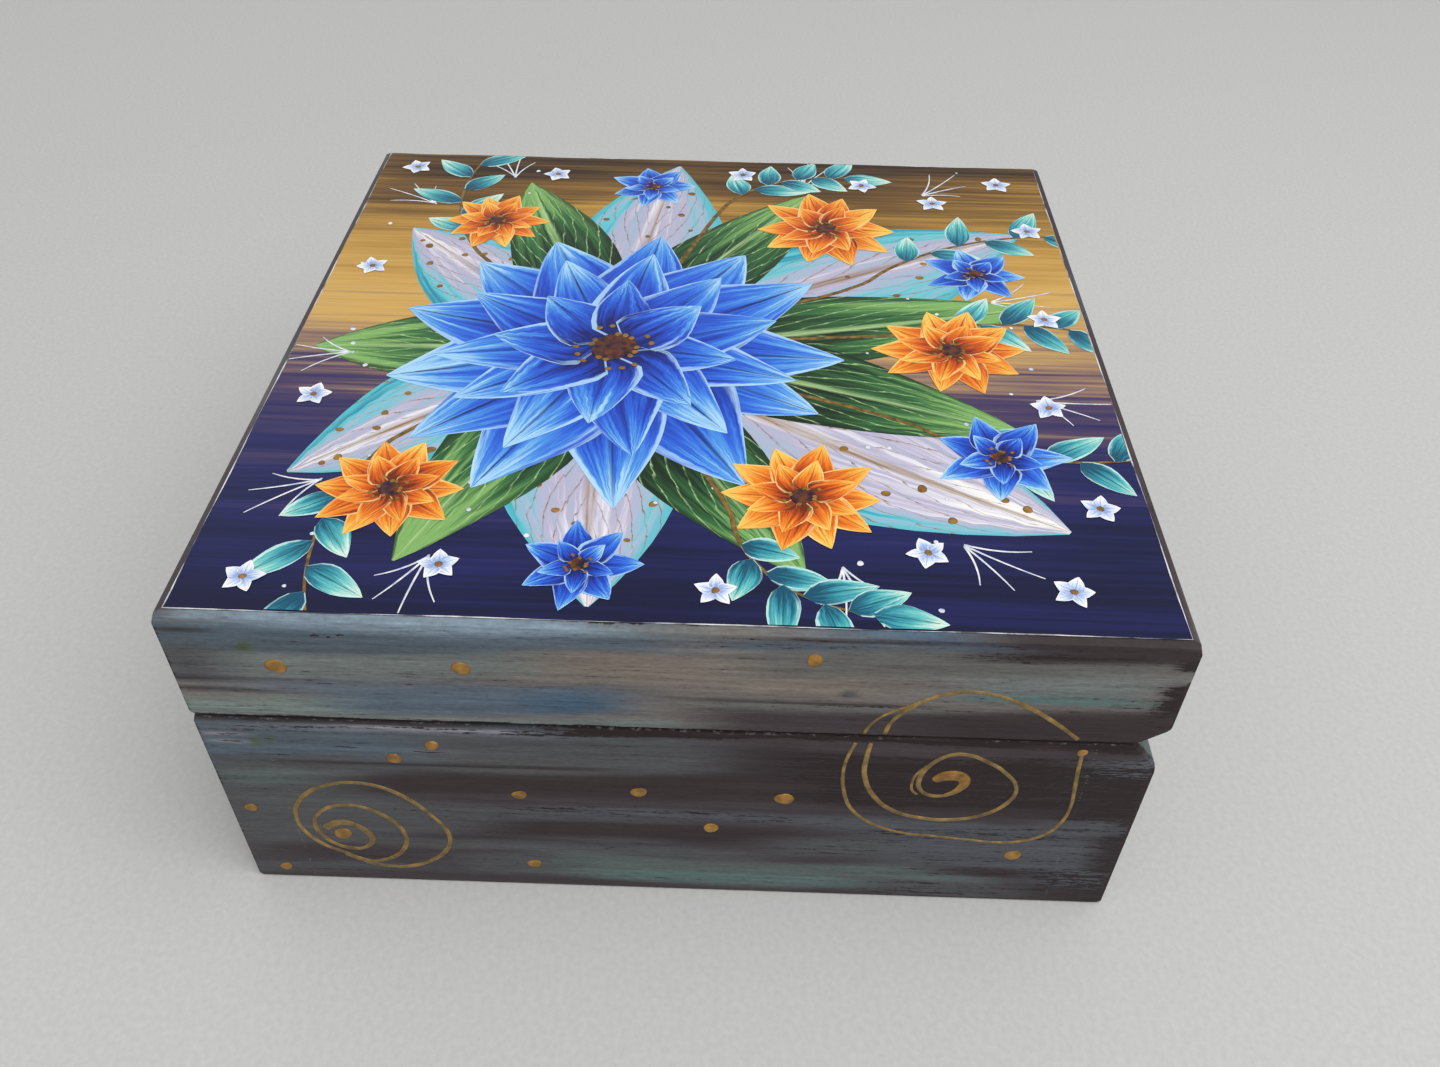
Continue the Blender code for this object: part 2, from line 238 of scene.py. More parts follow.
def printed_ground():
    """Art print under gloss varnish: a ground brushed in long pulls, umber and ochre into plum and navy."""
    material, node = new_finish("varnished_print_ground", VARNISH)
    place = node("TexCoord", out="Object")
    pulls = []
    for across, along, turn in ((6, 110, -14), (1.1, 70, -10)):
        spread = node("Mapping", {"Vector": place, "Rotation": (0, 0, radians(turn)),
                                  "Scale": (1 / (across * MM), 1 / (along * MM), 1)})
        pulls.append(node("TexNoise", {"Vector": spread, "Scale": 1.0, "Detail": 4.0, "Roughness": 0.62}))
    cloud = node("TexNoise", {"Vector": place, "Scale": 1 / (60 * MM), "Detail": 1.0})
    sideways = node("SeparateXYZ", {0: place}, out="X")
    level = node("MapRange", {
        "Value": sideways, "From Min": -HALF_WIDTH, "From Max": HALF_WIDTH, "To Min": -0.12, "To Max": 0.62})
    for pull, share in ((pulls[0], 0.34), (pulls[1], 0.26), (cloud, 0.2)):
        level = node("Math", {0: pull, 1: share, 2: level}, **SUM)
    tone = node("ValToRGB", {0: level}, stops=(
        (0.26, "#2e1d0e"), (0.36, "#6e4f22"), (0.47, "#b48a3e"), (0.58, "#d0a75c"), (0.67, "#9c7d62"),
        (0.75, "#4c3c5c"), (0.86, "#1d2159"), (1.0, "#0f1236")))
    return surface(material, tone, pulls[0], (0.3, 0.5))


def printed_petal(ink, stops, edge, vein, side_veins=0, across_share=0.0):
    """Printed brushwork under gloss varnish: streaks run from a petal's root to its tip, its edge is
    picked out, and a leaf has a midrib with side veins."""
    material, node = new_finish("varnished_print_" + ink, VARNISH)
    spot = node("UVMap", uv_map="petal")
    shift = node("Attribute", attribute_name="petal_shift", out="Fac")
    axes = node("SeparateXYZ", {0: spot}, out=None)
    moved = node("CombineXYZ", {"X": axes["X"], "Y": axes["Y"], "Z": shift})
    streaks = []
    for across, along in ((1.7, 24), (0.5, 13)):
        spread = node("Mapping", {"Vector": moved, "Scale": (
            USUAL_PETAL[0] / across, USUAL_PETAL[1] / along, 9)})
        noise = node("TexNoise", {"Vector": spread, "Scale": 1.0, "Detail": 4.0, "Roughness": 0.65})
        streaks.append(node("Math", {0: noise, 1: 0.5}, operation="SUBTRACT"))
    offset = node("Math", {0: axes["X"], 1: 0.5}, operation="SUBTRACT")
    half = node("Math", {0: offset}, operation="ABSOLUTE")
    inwards = node("MapRange", {"Value": half, "From Max": 0.5, "To Min": 1.0, "To Max": 0.0})
    level = node("Mix", {0: across_share, 2: axes["Y"], 3: inwards})
    for streak, share in ((streaks[0], 1.3), (streaks[1], 0.7)):
        level = node("Math", {0: streak, 1: share, 2: level}, **SUM)
    jump = node("Math", {0: shift}, operation="FRACT")
    level = node("Math", {0: jump, 1: 0.24, 2: level}, **SUM)
    level = node("Math", {0: level, 1: 0.12}, operation="SUBTRACT")
    tone = node("ValToRGB", {0: level}, stops=stops)

    rim_level = node("Math", {0: streaks[0], 1: 0.45, 2: half}, **SUM)
    rim = node("MapRange", {"Value": rim_level, "From Min": 0.4, "From Max": 0.5, "To Max": 0.8}, **EASED)
    rimmed = node("Mix", {0: rim, 6: tone, 7: linear(edge)}, **MIX)

    lines = node("MapRange", {"Value": half, "From Min": 0.045, "From Max": 0.012})
    if side_veins:
        rise = node("Math", {0: half, 1: -1.1, 2: axes["Y"]}, **SUM)
        wander = node("Math", {0: streaks[0], 1: 0.12, 2: rise}, **SUM)
        count = node("Math", {0: wander, 1: side_veins}, operation="MULTIPLY")
        wave = node("Math", {0: count}, operation="FRACT")
        branch = node("MapRange", {"Value": wave, "From Min": 0.12, "From Max": 0.03})
        lines = node("Math", {0: lines, 1: branch}, operation="MAXIMUM")
    broken = node("MapRange", {"Value": streaks[1], "From Min": -0.16, "From Max": 0.1})
    drawn = node("Math", {0: lines, 1: broken}, operation="MULTIPLY")
    veined = node("Mix", {0: drawn, 6: rimmed, 7: linear(vein)}, **MIX)
    return surface(material, veined, streaks[0], (0.3, 0.48), (-0.3, 0.3))


def printed_ink(ink, dark, light):
    """Small printed touches of one colour under gloss varnish, uneven as a brush leaves them."""
    material, node = new_finish("varnished_print_" + ink, VARNISH)
    place = node("TexCoord", out="Object")
    dab = node("TexNoise", {"Vector": place, "Scale": 1 / (1.6 * MM), "Detail": 3.0})
    tone = node("ValToRGB", {0: dab}, stops=((0.35, dark), (0.65, light)))
    return surface(material, tone, dab, (0.3, 0.5))


def birch_plywood(name, inside):
    """Birch plywood: outside bare and sanded, pale straw with long grain and short dark flecks; on its
    inside face the plum-brown base coat, brushed thinly so that brush pulls show."""
    material, node = new_finish(name, {"IOR": 1.5, "Specular IOR Level": 0.35})
    texture = node("TexCoord", out=None)
    noises = {}
    for key, across, along in (("grain", 3, 70), ("fleck", 0.5, 6), ("pull", 1.2, 55)):
        spread = node("Mapping", {"Vector": texture["Object"], "Scale": (
            1 / (across * MM), 1 / (along * MM), 1 / (across * MM))})
        noises[key] = node("TexNoise", {"Vector": spread, "Scale": 1.0, "Detail": 4.0})
    straw = node("ValToRGB", {0: noises["grain"]}, stops=(
        (0.3, "#b08c5c"), (0.5, "#cdb086"), (0.7, "#dcc6a0")))
    mark = node("MapRange", {"Value": noises["fleck"], "From Min": 0.62, "From Max": 0.74, "To Max": 0.5})
    bare = node("Mix", {0: mark, 6: straw, 7: linear("#8c6a42")}, **MIX)
    pull = noises["pull"]
    coat = node("ValToRGB", {0: pull}, stops=((0.3, "#241a1c"), (0.55, "#32262a"), (0.78, "#43363a")))
    facing = node("SeparateXYZ", {0: texture["Normal"]}, out="Z")
    inwards = node("Math", {0: facing, 1: inside}, operation="MULTIPLY")
    coated = node("Math", {0: inwards, 1: 0.5}, operation="GREATER_THAN")
    tone = node("Mix", {0: coated, 6: bare, 7: coat}, **MIX)
    return surface(material, tone, pull, (0.5, 0.72), relief=pull, strength=0.25, depth=0.08)


def worked_metal(name, bright, dull, grain_mm):
    """Rolled or turned metal left to dull in the air: fine drawn lines, soft blotches of tarnish."""
    material, node = new_finish(name, {"Metallic": 1.0})
    place = node("TexCoord", out="Object")
    spread = node("Mapping", {"Vector": place, "Scale": (
        1 / (6 * MM), 1 / (grain_mm * MM), 1 / (grain_mm * MM))})
    drawn = node("TexNoise", {"Vector": spread, "Scale": 1.0, "Detail": 3.0})
    tarnish = node("TexNoise", {"Vector": place, "Scale": 1 / (5 * MM), "Detail": 4.0})
    tone = node("ValToRGB", {0: tarnish}, stops=((0.38, bright), (0.66, dull)))
    blend = node("Math", {0: drawn, 1: tarnish}, operation="ADD")
    return surface(material, tone, blend, (0.22, 0.5), (0.6, 1.4), drawn, strength=0.15, depth=0.03)


def put(name, data):
    """A new object in the scene."""
    item = bpy.data.objects.new(name, data)
    bpy.context.scene.collection.objects.link(item)
    return item


def add_piece(name, bm, finish, body, replaced=()):
    """A finished mesh as a piece of the box: its finish, its body and the node it stands for."""
    piece = put(name, mesh_from(bm, name))
    piece.data.materials.append(finish)
    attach(piece, body)
    if replaced:
        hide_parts(*replaced)
    return piece


def mesh_from(bm, name):
    """The finished mesh of a piece in the making."""
    mesh = bpy.data.meshes.new(name)
    bm.to_mesh(mesh)
    bm.free()
    return mesh


def join(bm, mesh):
    """Add a finished mesh to a piece in the making."""
    bm.from_mesh(mesh)
    bpy.data.meshes.remove(mesh)


def drawing_board(across, up, out, centre):
    """A face of the box to draw on: across, up and outwards as seen from outside."""
    board = Matrix((across, up, out)).transposed().to_4x4()
    board.translation = centre
    return board


SIDES = {
    "back": drawing_board((-1, 0, 0), (0, 0, 1), (0, 1, 0), (0, HALF_DEPTH - PAINT_RELIEF, 0)),
    "front": drawing_board((1, 0, 0), (0, 0, 1), (0, -1, 0), (0, PAINT_RELIEF - HALF_DEPTH, 0)),
    "left": drawing_board((0, -1, 0), (0, 0, 1), (-1, 0, 0), (PAINT_RELIEF - HALF_WIDTH, 0, 0)),
    "right": drawing_board((0, 1, 0), (0, 0, 1), (1, 0, 0), (HALF_WIDTH - PAINT_RELIEF, 0, 0)),
}

# Brush strokes on the photographed side, in the order they were laid: where the middle of each lies
# along and up the face, its length and height in millimetres, its colour, and how full the brush was.
FIRST_COAT = {"lid": (0, 60, 190, 34, TAUPE, 1.0), "base": (0, 24, 190, 56, PLUM, 1.0)}
# A dark band across the base just under the lid's lip, on every side: painted shade where the lid's overhang
# shadows the base.
LIP_PAINTED_SHADE = (0, 48.5, 190, 2.6, UMBER, 1.0)
RIGHT_LID_STROKES = [
    FIRST_COAT["lid"], (-46, 68, 92, 7, SLATE, 1.0), (-38, 69.6, 66, 2.6, STEEL, 1.0),
    (-48, 62, 84, 6, SAGE, 1.0), (-77, 61, 14, 9, ASH, 0.9), (-70, 57.6, 34, 0.8, DARK_PLUM, 0.9),
    (-71, 55.2, 24, 1.0, DARK_PLUM, 0.8), (-66, 50.8, 40, 5.6, PALE_SAGE, 1.0), (-48, 56.6, 44, 3, MIST, 0.9),
    (-32, 54.6, 48, 7, STEEL, 1.0), (-17, 54.2, 13, 4.5, INK_BLUE, 0.95), (-36, 48.6, 84, 3, SAGE, 1.0),
    (4, 62, 52, 7, WARM_TAUPE, 0.95), (36, 69.6, 62, 2.6, SLATE, 0.85), (44, 65, 66, 6, GREY, 1.0),
    (60, 62, 30, 5, SAGE, 0.9), (61, 58.2, 30, 2.2, TEAL, 0.8), (30, 54.5, 50, 3, GREY, 0.8),
    (48, 50.6, 88, 9, PLUM, 0.95), (62, 50.4, 46, 8, DARK_PLUM, 0.9), (20, 56.2, 42, 0.6, DARK_PLUM, 0.85),
    (-76, 69, 9, 0.9, DARK_PLUM, 0.7), (64, 68.6, 34, 2.6, DARK_PLUM, 0.5), (79.6, 59, 6, 10, UMBER, 0.1),
    (79, 52, 8, 9, DARK_PLUM, 0.6), (79.4, 68, 5, 4, UMBER, 0.25), (-66.6, 64.9, 2.0, 2.4, OLIVE, 0.95),
    # The pale first stroke along the rounded top edge is partly the rim's blue-grey paint, partly a painted
    # highlight.
    (-44, 72.8, 90, 5, RIM_STEEL_AND_HIGHLIGHT, 1.0), (10, 72.8, 36, 5, GREY, 0.8), (34, 72.6, 26, 5, INK_BLUE, 1.0),
    (66, 72.2, 40, 5, DARK_PLUM, 0.9), (-80, 72.8, 6, 5, PLUM, 0.9), (30, 70.6, 30, 0.6, DARK_PLUM, 0.7),
    (27.4, 58.4, 2.2, 1.6, ASH, 1.0)]
RIGHT_BASE_STROKES = [
    FIRST_COAT["base"], (-54, 44, 92, 8, SLATE, 1.0), (-44, 45.4, 60, 1.6, MIST, 0.62),
    (-58, 38, 72, 6, STEEL, 0.95), (-66, 20, 36, 36, ASH, 1.0), (-72, 32, 18, 4, MOSS, 0.85),
    (-40, 20, 74, 9, ASH, 0.9), (-26, 31, 60, 6, DARK_PLUM, 0.95), (28, 36, 96, 15, DARK_PLUM, 1.0),
    (-18, 41, 52, 10, ASH, 1.0), (-40, 36.6, 56, 0.8, DARK_PLUM, 0.9), (44, 37, 50, 14, UMBER, 0.3),
    (-52, 8, 56, 6, PLUM, 0.9), (4, 24, 60, 3, LEAD, 0.64), (4, 18, 76, 5, DARK_PLUM, 0.95),
    (-16, 12.5, 64, 3.5, ASH, 0.85), (-14, 6, 56, 7, ASH, 0.9), (18, 7, 80, 8, MOSS, 1.0),
    (14, 4.4, 54, 3, TEAL, 0.95), (40, 15, 48, 6, ASH, 0.75), (50, 22, 46, 6, LEAD, 0.78),
    (58, 15, 44, 12, LEAD, 0.74), (62, 9.5, 30, 3, DARK_PLUM, 0.6), (56, 3.6, 46, 5, ASH, 0.7),
    (74, 3.6, 20, 7, DARK_PLUM, 0.8), (79, 16, 8, 40, UMBER, 0.4), (76, 34, 18, 14, UMBER, 0.3),
    (76, 42, 14, 5, LEAD, 0.45), (72, 24.2, 15, 4.6, LEAD, 0.62), (73, 8.6, 14, 6, LEAD, 0.5),
    (-76, 43.6, 7, 0.8, SCUFF, 0.5), (-75, 41.4, 6, 0.7, SCUFF, 0.45), (-70.6, 41.5, 1.4, 2.4, OLIVE, 0.9),
    # Among these, the dark band under the lid's lip is painted shade.
    (-67.9, 42.5, 1.2, 1.6, OLIVE, 0.8), LIP_PAINTED_SHADE, (-38, 46.3, 36, 0.6, SCUFF, 0.5),
    # Undercoat left bare along the base's top edge on the right half: partly the edge's dark paint, partly
    # painted shade under the lid.
    (34, 47.2, 110, 2.2, UMBER, 0.0)]
# On the other sides: the span up the face, the number of strokes and the colours, by body.
HIDDEN_SIDES = {
    "lid": (50, 70, 15, [SLATE, SAGE, PLUM, TAUPE, STEEL, GREY, MOSS, WARM_TAUPE, MIST, TEAL]),
    "base": (2, 46, 26, [SLATE, PLUM, MOSS, DARK_PLUM, ASH, STEEL, PLUM, TEAL, LEAD, DARK_PLUM, MIST, ASH,
                         TAUPE])}
HIDDEN_REACH = 0.9
HIDDEN_LENGTHS = (36, 110)
HIDDEN_HEIGHTS = (2.5, 8)
HIDDEN_LOADS = (0.7, 1.0)


def hidden_side_strokes(seed, half_length):
    """Strokes of the same brush and paints on a side that the photograph doesn't show, by body."""
    draw = random.Random(seed)
    strokes = {body: [coat] for body, coat in FIRST_COAT.items()}
    for body, (lowest, highest, count, colours) in HIDDEN_SIDES.items():
        for row in range(count):
            along = draw.uniform(-HIDDEN_REACH, HIDDEN_REACH) * half_length / MM
            up = draw.uniform(lowest, highest)
            strokes[body].append((along, up, draw.uniform(*HIDDEN_LENGTHS), draw.uniform(*HIDDEN_HEIGHTS),
                                  colours[row % len(colours)], draw.uniform(*HIDDEN_LOADS)))
    strokes["lid"].append((0, 72.6, 190, 5, PLUM, 0.9))
    # Painted shade under the lid's lip on this side too.
    strokes["base"].append(LIP_PAINTED_SHADE)
    return strokes


SIDE_STROKES = {
    "right": {"lid": RIGHT_LID_STROKES, "base": RIGHT_BASE_STROKES},
    "left": hidden_side_strokes(3, HALF_DEPTH),
    "front": hidden_side_strokes(11, HALF_WIDTH),
    "back": hidden_side_strokes(23, HALF_WIDTH),
}
SIDE_STROKES["back"]["base"].append((-70, 45, 36, 9, MOSS, 1.0))

# How a stroke lies, in millimetres: its soft ends and edges, its wobble, and the marks of bristle tufts.
STROKE_END = 20.0
STROKE_EDGE = 2.4
LEAST_EDGE, EDGE_SHARE = 0.5, 0.35
STROKE_WOBBLE = 1.2
WOBBLE_SHARE, WOBBLE_WAVE = 0.2, 17
BRISTLE_MARKS = 150
BRISTLE_CONTRAST = 0.15
TUFT_FIELD = (80, 72)
TUFT_LEAN = 0.02
TUFT_REACH = (8, 34)
TUFT_HEIGHT = (0.2, 0.7)
TUFT_EDGE = 0.8
# How far paint, rubbing and scuffs reach from the boards' faces and edges, and how full they start.
PAINTED_DEPTH = {"right": 1.8 * MM, "left": 1.8 * MM, "front": 1.8 * MM, "back": 5.2 * MM}
BARE_REACH = 0.05 * MM
RIM_DEPTH = 1.6 * MM
RUB_REACH, RUB_FULL = 0.9 * MM, 1.1
SCUFF_REACH, SCUFF_FULL = 1.3 * MM, 1.2
LIP_FAINT = 0.3 * MM
SEAM_FAINT = 0.62 * MM
# What counts as one point, as one plane and as facing outwards when a board is cut.
WELD, CUT_SNAP = 0.001 * MM, 0.0001 * MM
ONE_PLANE = radians(0.5)
FACING = 0.3


def fade(distance, reach):
    """1 well inside a stroke, 0 past its border, eased over the reach."""
    share = np.clip(0.5 - distance / reach, 0, 1)
    return share * share * (3 - 2 * share)


def brush_side(points, strokes, seed):
    """Colour and load of the paint at points (across, up) of a side, in millimetres: the strokes, then
    the lighter and darker marks of single bristle tufts."""
    colours = np.tile(linear(UMBER), (len(points), 1))
    loads = np.zeros(len(points))
    for along, up, length, height, hex_value, load in strokes:
        wobble = min(STROKE_WOBBLE, WOBBLE_SHARE * height) * np.sin(points[:, 0] / WOBBLE_WAVE + up)
        ends = fade(np.abs(points[:, 0] - along) - length / 2, min(STROKE_END, length))
        soft = min(STROKE_EDGE, LEAST_EDGE + EDGE_SHARE * height)
        edges = fade(np.abs(points[:, 1] + wobble - up) - height / 2, soft)
        laid = (ends * edges)[:, None]
        colours = colours * (1 - laid) + np.array(linear(hex_value)) * laid
        loads = loads * (1 - laid[:, 0]) + load * laid[:, 0]
    draw = random.Random(seed)
    for _ in range(BRISTLE_MARKS):
        along = draw.uniform(-TUFT_FIELD[0], TUFT_FIELD[0])
        up = draw.uniform(0, TUFT_FIELD[1])
        slant = points[:, 0] * draw.uniform(-TUFT_LEAN, TUFT_LEAN)
        ends = fade(np.abs(points[:, 0] - along) - draw.uniform(*TUFT_REACH), STROKE_END)
        edges = fade(np.abs(points[:, 1] - up + slant) - draw.uniform(*TUFT_HEIGHT), TUFT_EDGE)
        tone = 1 + draw.uniform(-1, 1) * BRISTLE_CONTRAST * ends * edges
        colours[:, :3] *= tone[:, None]
    return colours, loads


def gridded_wall(node):
    """A wall board set back by the paint's thickness, its outer faces cut into a fine grid for the brush."""
    bm = bmesh.new()
    bm.from_mesh(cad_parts[node].data)
    bmesh.ops.remove_doubles(bm, verts=bm.verts, dist=WELD)
    bmesh.ops.dissolve_limit(bm, angle_limit=ONE_PLANE, verts=bm.verts, edges=bm.edges)
    face_x = HALF_WIDTH - PAINT_RELIEF
    face_y = HALF_DEPTH - PAINT_RELIEF
    for vert in bm.verts:
        vert.co.x = min(max(vert.co.x, -face_x), face_x)
        vert.co.y = min(max(vert.co.y, -face_y), face_y)
        if abs(abs(vert.co.y) - SIDE_END) < SEAM_HAIR:
            vert.co.y *= (SEAM_LINE - SEAM_HAIR) / SIDE_END

    for side, board in SIDES.items():
        out = board.to_3x3().col[2]
        everything = bm.verts[:] + bm.edges[:] + bm.faces[:]
        stop = board.translation - out * (PAINTED_DEPTH[side] + BARE_REACH)
        bmesh.ops.bisect_plane(bm, geom=everything, dist=CUT_SNAP, plane_co=stop, plane_no=out)

    lows = [min(vert.co[axis] for vert in bm.verts) for axis in range(3)]
    highs = [max(vert.co[axis] for vert in bm.verts) for axis in range(3)]
    bm.normal_update()
    shown = {}
    for face in bm.faces:
        middle = face.calc_center_median()
        if (abs(face.normal.x) > FACING and abs(middle.x) > face_x - RIM_DEPTH
                or abs(face.normal.y) > FACING and abs(middle.y) > face_y - RIM_DEPTH):
            shown.update(dict.fromkeys([face, *face.edges, *face.verts]))
    shown = list(shown)
    for axis, step in ((0, BRUSH_GRID_ALONG), (1, BRUSH_GRID_ALONG), (2, BRUSH_GRID_UP)):
        normal = Vector((axis == 0, axis == 1, axis == 2))
        for index in range(floor(lows[axis] / step) + 1, floor(highs[axis] / step) + 1):
            cut = bmesh.ops.bisect_plane(bm, geom=shown, dist=CUT_SNAP, plane_co=normal * index * step,
                                         plane_no=normal)
            shown = cut["geom"]
    return bm


def painted_wall(node, body, finish):
    """A wall board that carries its brush strokes, rubbed edges and scuffs on its grid."""
    bm = gridded_wall(node)
    colour_layer = bm.verts.layers.float_color.new("brush_colour")
    load_layer = bm.verts.layers.float.new("brush_load")
    rub_layer = bm.verts.layers.float.new("edge_rub")
    scuff_layer = bm.verts.layers.float.new("pale_scuff")
    bm.verts.ensure_lookup_table()
    places = np.array([vert.co[:] for vert in bm.verts])
    inset_x = HALF_WIDTH - np.abs(places[:, 0])
    inset_y = HALF_DEPTH - np.abs(places[:, 1])
    foot = places[:, 2] if body == "base" else places[:, 2] - LID_LIP
    rubs = np.clip(RUB_FULL - np.minimum(np.hypot(inset_x, inset_y), foot) / RUB_REACH, 0, 1)
    scuffs = np.zeros(len(places))
    if body == "base":
        lip = np.abs(places[:, 2] - BASE_LIP) + LIP_FAINT
        seam = np.abs(np.abs(places[:, 1]) - SEAM_LINE) + SEAM_FAINT
        outside = np.minimum(inset_x, inset_y) < MM
        scuffs = np.clip(SCUFF_FULL - np.minimum(lip, seam) / SCUFF_REACH, 0, 1) * outside
    for vert in bm.verts:
        vert[colour_layer] = linear(UMBER)
        vert[rub_layer] = rubs[vert.index]
        vert[scuff_layer] = scuffs[vert.index]
    lip_plane = BASE_LIP if body == "base" else LID_LIP
    bare = (np.abs(places[:, 2] - lip_plane) < BARE_REACH) | (places[:, 2] < BARE_REACH)
    for side, board in SIDES.items():
        local = np.array([(board.inverted() @ vert.co)[:] for vert in bm.verts])
        on_side = np.nonzero((local[:, 2] > -PAINTED_DEPTH[side]) & ~bare)[0]
        if len(on_side):
            colours, loads = brush_side(local[on_side] / MM, SIDE_STROKES[side][body], side)
            for vert_index, colour, load in zip(on_side, colours, loads):
                bm.verts[vert_index][colour_layer] = colour
                bm.verts[vert_index][load_layer] = load
    bm.normal_update()
    for face in bm.faces:
        face.smooth = True
    for edge in bm.edges:
        edge.smooth = edge.calc_face_angle(0.0) < CRISP_EDGE
    add_piece(node + "_painted", bm, finish, body, [node])


# A bead or dab of paint: how finely it is built, how much of the relief it fills, how uneven it is.
LINE_SIDES = 2
LINE_STEPS = 5
CAP_SEAM = 0.001 * MM
BEAD_FILL, DAB_FILL = 0.96, 0.95
DAB_STRETCH = (0.86, 1.12)
DAB_UNEVEN = (0.07, 0.05)
DOT_FACES = (10, 4)


def drawn_line(points, widths, relief, board):
    """A line of paint on a face: a round bead along the points, pressed flat to the relief."""
    curve = bpy.data.curves.new("line", "CURVE")
    curve.dimensions = "3D"
    curve.bevel_depth = MM / 2
    curve.bevel_resolution = LINE_SIDES
    curve.resolution_u = LINE_STEPS
    curve.use_fill_caps = True
    spline = curve.splines.new("BEZIER")
    spline.bezier_points.add(len(points) - 1)
    for knot, place, width in zip(spline.bezier_points, points, widths):
        knot.co = (place[0] * MM, place[1] * MM, 0)
        knot.radius = width
        knot.handle_left_type = "AUTO"
        knot.handle_right_type = "AUTO"
    carrier = bpy.data.objects.new("line", curve)
    mesh = bpy.data.meshes.new_from_object(carrier)
    bpy.data.objects.remove(carrier)
    bpy.data.curves.remove(curve)
    bead = bmesh.new()
    bead.from_mesh(mesh)
    bmesh.ops.remove_doubles(bead, verts=bead.verts, dist=CAP_SEAM)
    bmesh.ops.recalc_face_normals(bead, faces=bead.faces)
    bead.to_mesh(mesh)
    bead.free()
    thickest = max(widths) / 2 * MM
    mesh.transform(board @ Matrix.Diagonal((1, 1, BEAD_FILL * relief / thickest, 1)))
    return mesh


def paint_dab(bm, place, width, relief, board, draw, sides=14, rings=6):
    """A touch of the brush's tip: a low dome with an uneven round outline."""
    dome = bmesh.new()
    bmesh.ops.create_uvsphere(dome, u_segments=sides, v_segments=rings, radius=0.5)
    phase = draw.uniform(0, tau)
    stretch = draw.uniform(*DAB_STRETCH)
    for vert in dome.verts:
        turn = atan2(vert.co.y, vert.co.x)
        swell = 1 + DAB_UNEVEN[0] * sin(2 * turn + phase) + DAB_UNEVEN[1] * sin(3 * turn - phase)
        across = place[0] + vert.co.x * width * swell * stretch
        up = place[1] + vert.co.y * width * swell
        vert.co = board @ Vector((across * MM, up * MM, 2 * vert.co.z * DAB_FILL * relief))
    join(bm, mesh_from(dome, "dab"))


def print_dot(bm, place, width, relief, layer, draw):
    """A printed touch on the lid, repeated so often that a few faces make it."""
    paint_dab(bm, place, width, relief, print_board(layer), draw, *DOT_FACES)


def spiral(centre, drift, start_radius, growth, turns, start_turn=0.5, hand=-1, steps=14):
    """Points of a hand-drawn spiral whose middle drifts as it opens; hand -1 runs clockwise."""
    points = []
    for step in range(int(turns * steps) + 1):
        turn = step / steps
        angle = tau * (start_turn + hand * turn)
        radius = start_radius + growth * turn
        points.append((centre[0] + drift[0] * turn + radius * cos(angle),
                       centre[1] + drift[1] * turn + radius * sin(angle)))
    return points


# The gold lines on the photographed side, drawn freehand: a spiral at the left end, and at the right end
# a scroll that runs over base and lid.
LEFT_SPIRAL = [
    (-63.9, 16.7), (-62.2, 18.1), (-60.1, 18.6), (-58.1, 17.8), (-56.5, 15.9), (-55.8, 13.8), (-56.7, 11.8),
    (-58.3, 10.6), (-60.3, 10.5), (-62.4, 11.3), (-64.3, 13.3), (-65.4, 15.7), (-65.5, 18.3), (-64.3, 21.2),
    (-62.1, 23.1), (-59.0, 24.0), (-55.9, 23.5), (-53.0, 21.6), (-50.7, 18.8), (-49.6, 15.4), (-49.9, 12.4),
    (-51.7, 9.1), (-54.4, 7.1), (-57.1, 6.4), (-59.7, 7.4), (-61.9, 9.1), (-64.4, 10.6), (-66.4, 12.8),
    (-68.0, 15.8), (-68.5, 19.3), (-67.9, 22.9), (-65.3, 27.0), (-61.5, 29.6), (-56.4, 30.8), (-52.0, 29.9),
    (-47.7, 26.9), (-43.9, 21.7), (-41.8, 17.3), (-41.6, 13.9), (-43.0, 10.3), (-46.0, 7.2), (-49.8, 5.2),
    (-53.6, 4.8), (-56.9, 5.6), (-59.7, 7.0), (-61.8, 8.5)]
SCROLL_BASE_INNER = [
    (48.1, 34.4), (46.9, 33.2), (45.3, 32.5), (43.5, 32.6), (42.0, 33.6), (41.2, 35.3), (41.2, 37.8),
    (42.1, 40.4), (43.9, 42.8), (46.2, 44.1), (48.6, 44.0), (51.3, 42.7), (55.2, 39.6), (57.8, 35.1),
    (56.8, 30.9), (53.1, 27.3), (48.4, 25.7), (42.7, 25.9), (37.5, 27.9), (34.0, 31.7), (31.8, 37.7),
    (31.7, 42.6), (32.1, 46.4)]
SCROLL_COMMA = [
    (44.0, 37.4), (45.3, 38.1), (46.8, 38.3), (48.2, 37.8), (48.8, 36.4), (48.3, 34.9), (47.3, 33.6),
    (45.9, 32.7)]
COMMA_WIDTHS = (1.9, 2.6, 2.8, 2.5, 2.0, 1.6, 1.2, 0.9)
SCROLL_RING_TAIL = [(42.0, 40.8), (40.5, 38.4), (40.0, 35.8), (40.3, 33.8), (41.2, 32.8)]
SCROLL_LID_ARCH = [
    (34.0, 49.0), (34.9, 52.2), (36.9, 55.0), (39.9, 57.8), (44.1, 59.7), (47.4, 60.0), (51.5, 59.0),
    (55.8, 56.8), (60.4, 53.5), (63.9, 50.4), (65.3, 49.1)]
SCROLL_BASE_OUTER = [
    (66.8, 46.3), (67.0, 41.6), (67.5, 36.1), (67.9, 30.5), (67.1, 25.6), (64.7, 21.7), (60.6, 19.6),
    (56.3, 19.2), (51.1, 19.8), (45.3, 20.5), (39.5, 21.3), (34.2, 23.8), (30.7, 27.4), (28.8, 32.5),
    (28.2, 39.5), (29.0, 44.4), (29.6, 46.4)]
SCROLL_LID_TAIL = [(30.7, 49.0), (31.6, 51.3), (33.2, 53.4), (35.1, 54.8), (37.1, 56.1), (38.9, 57.2)]

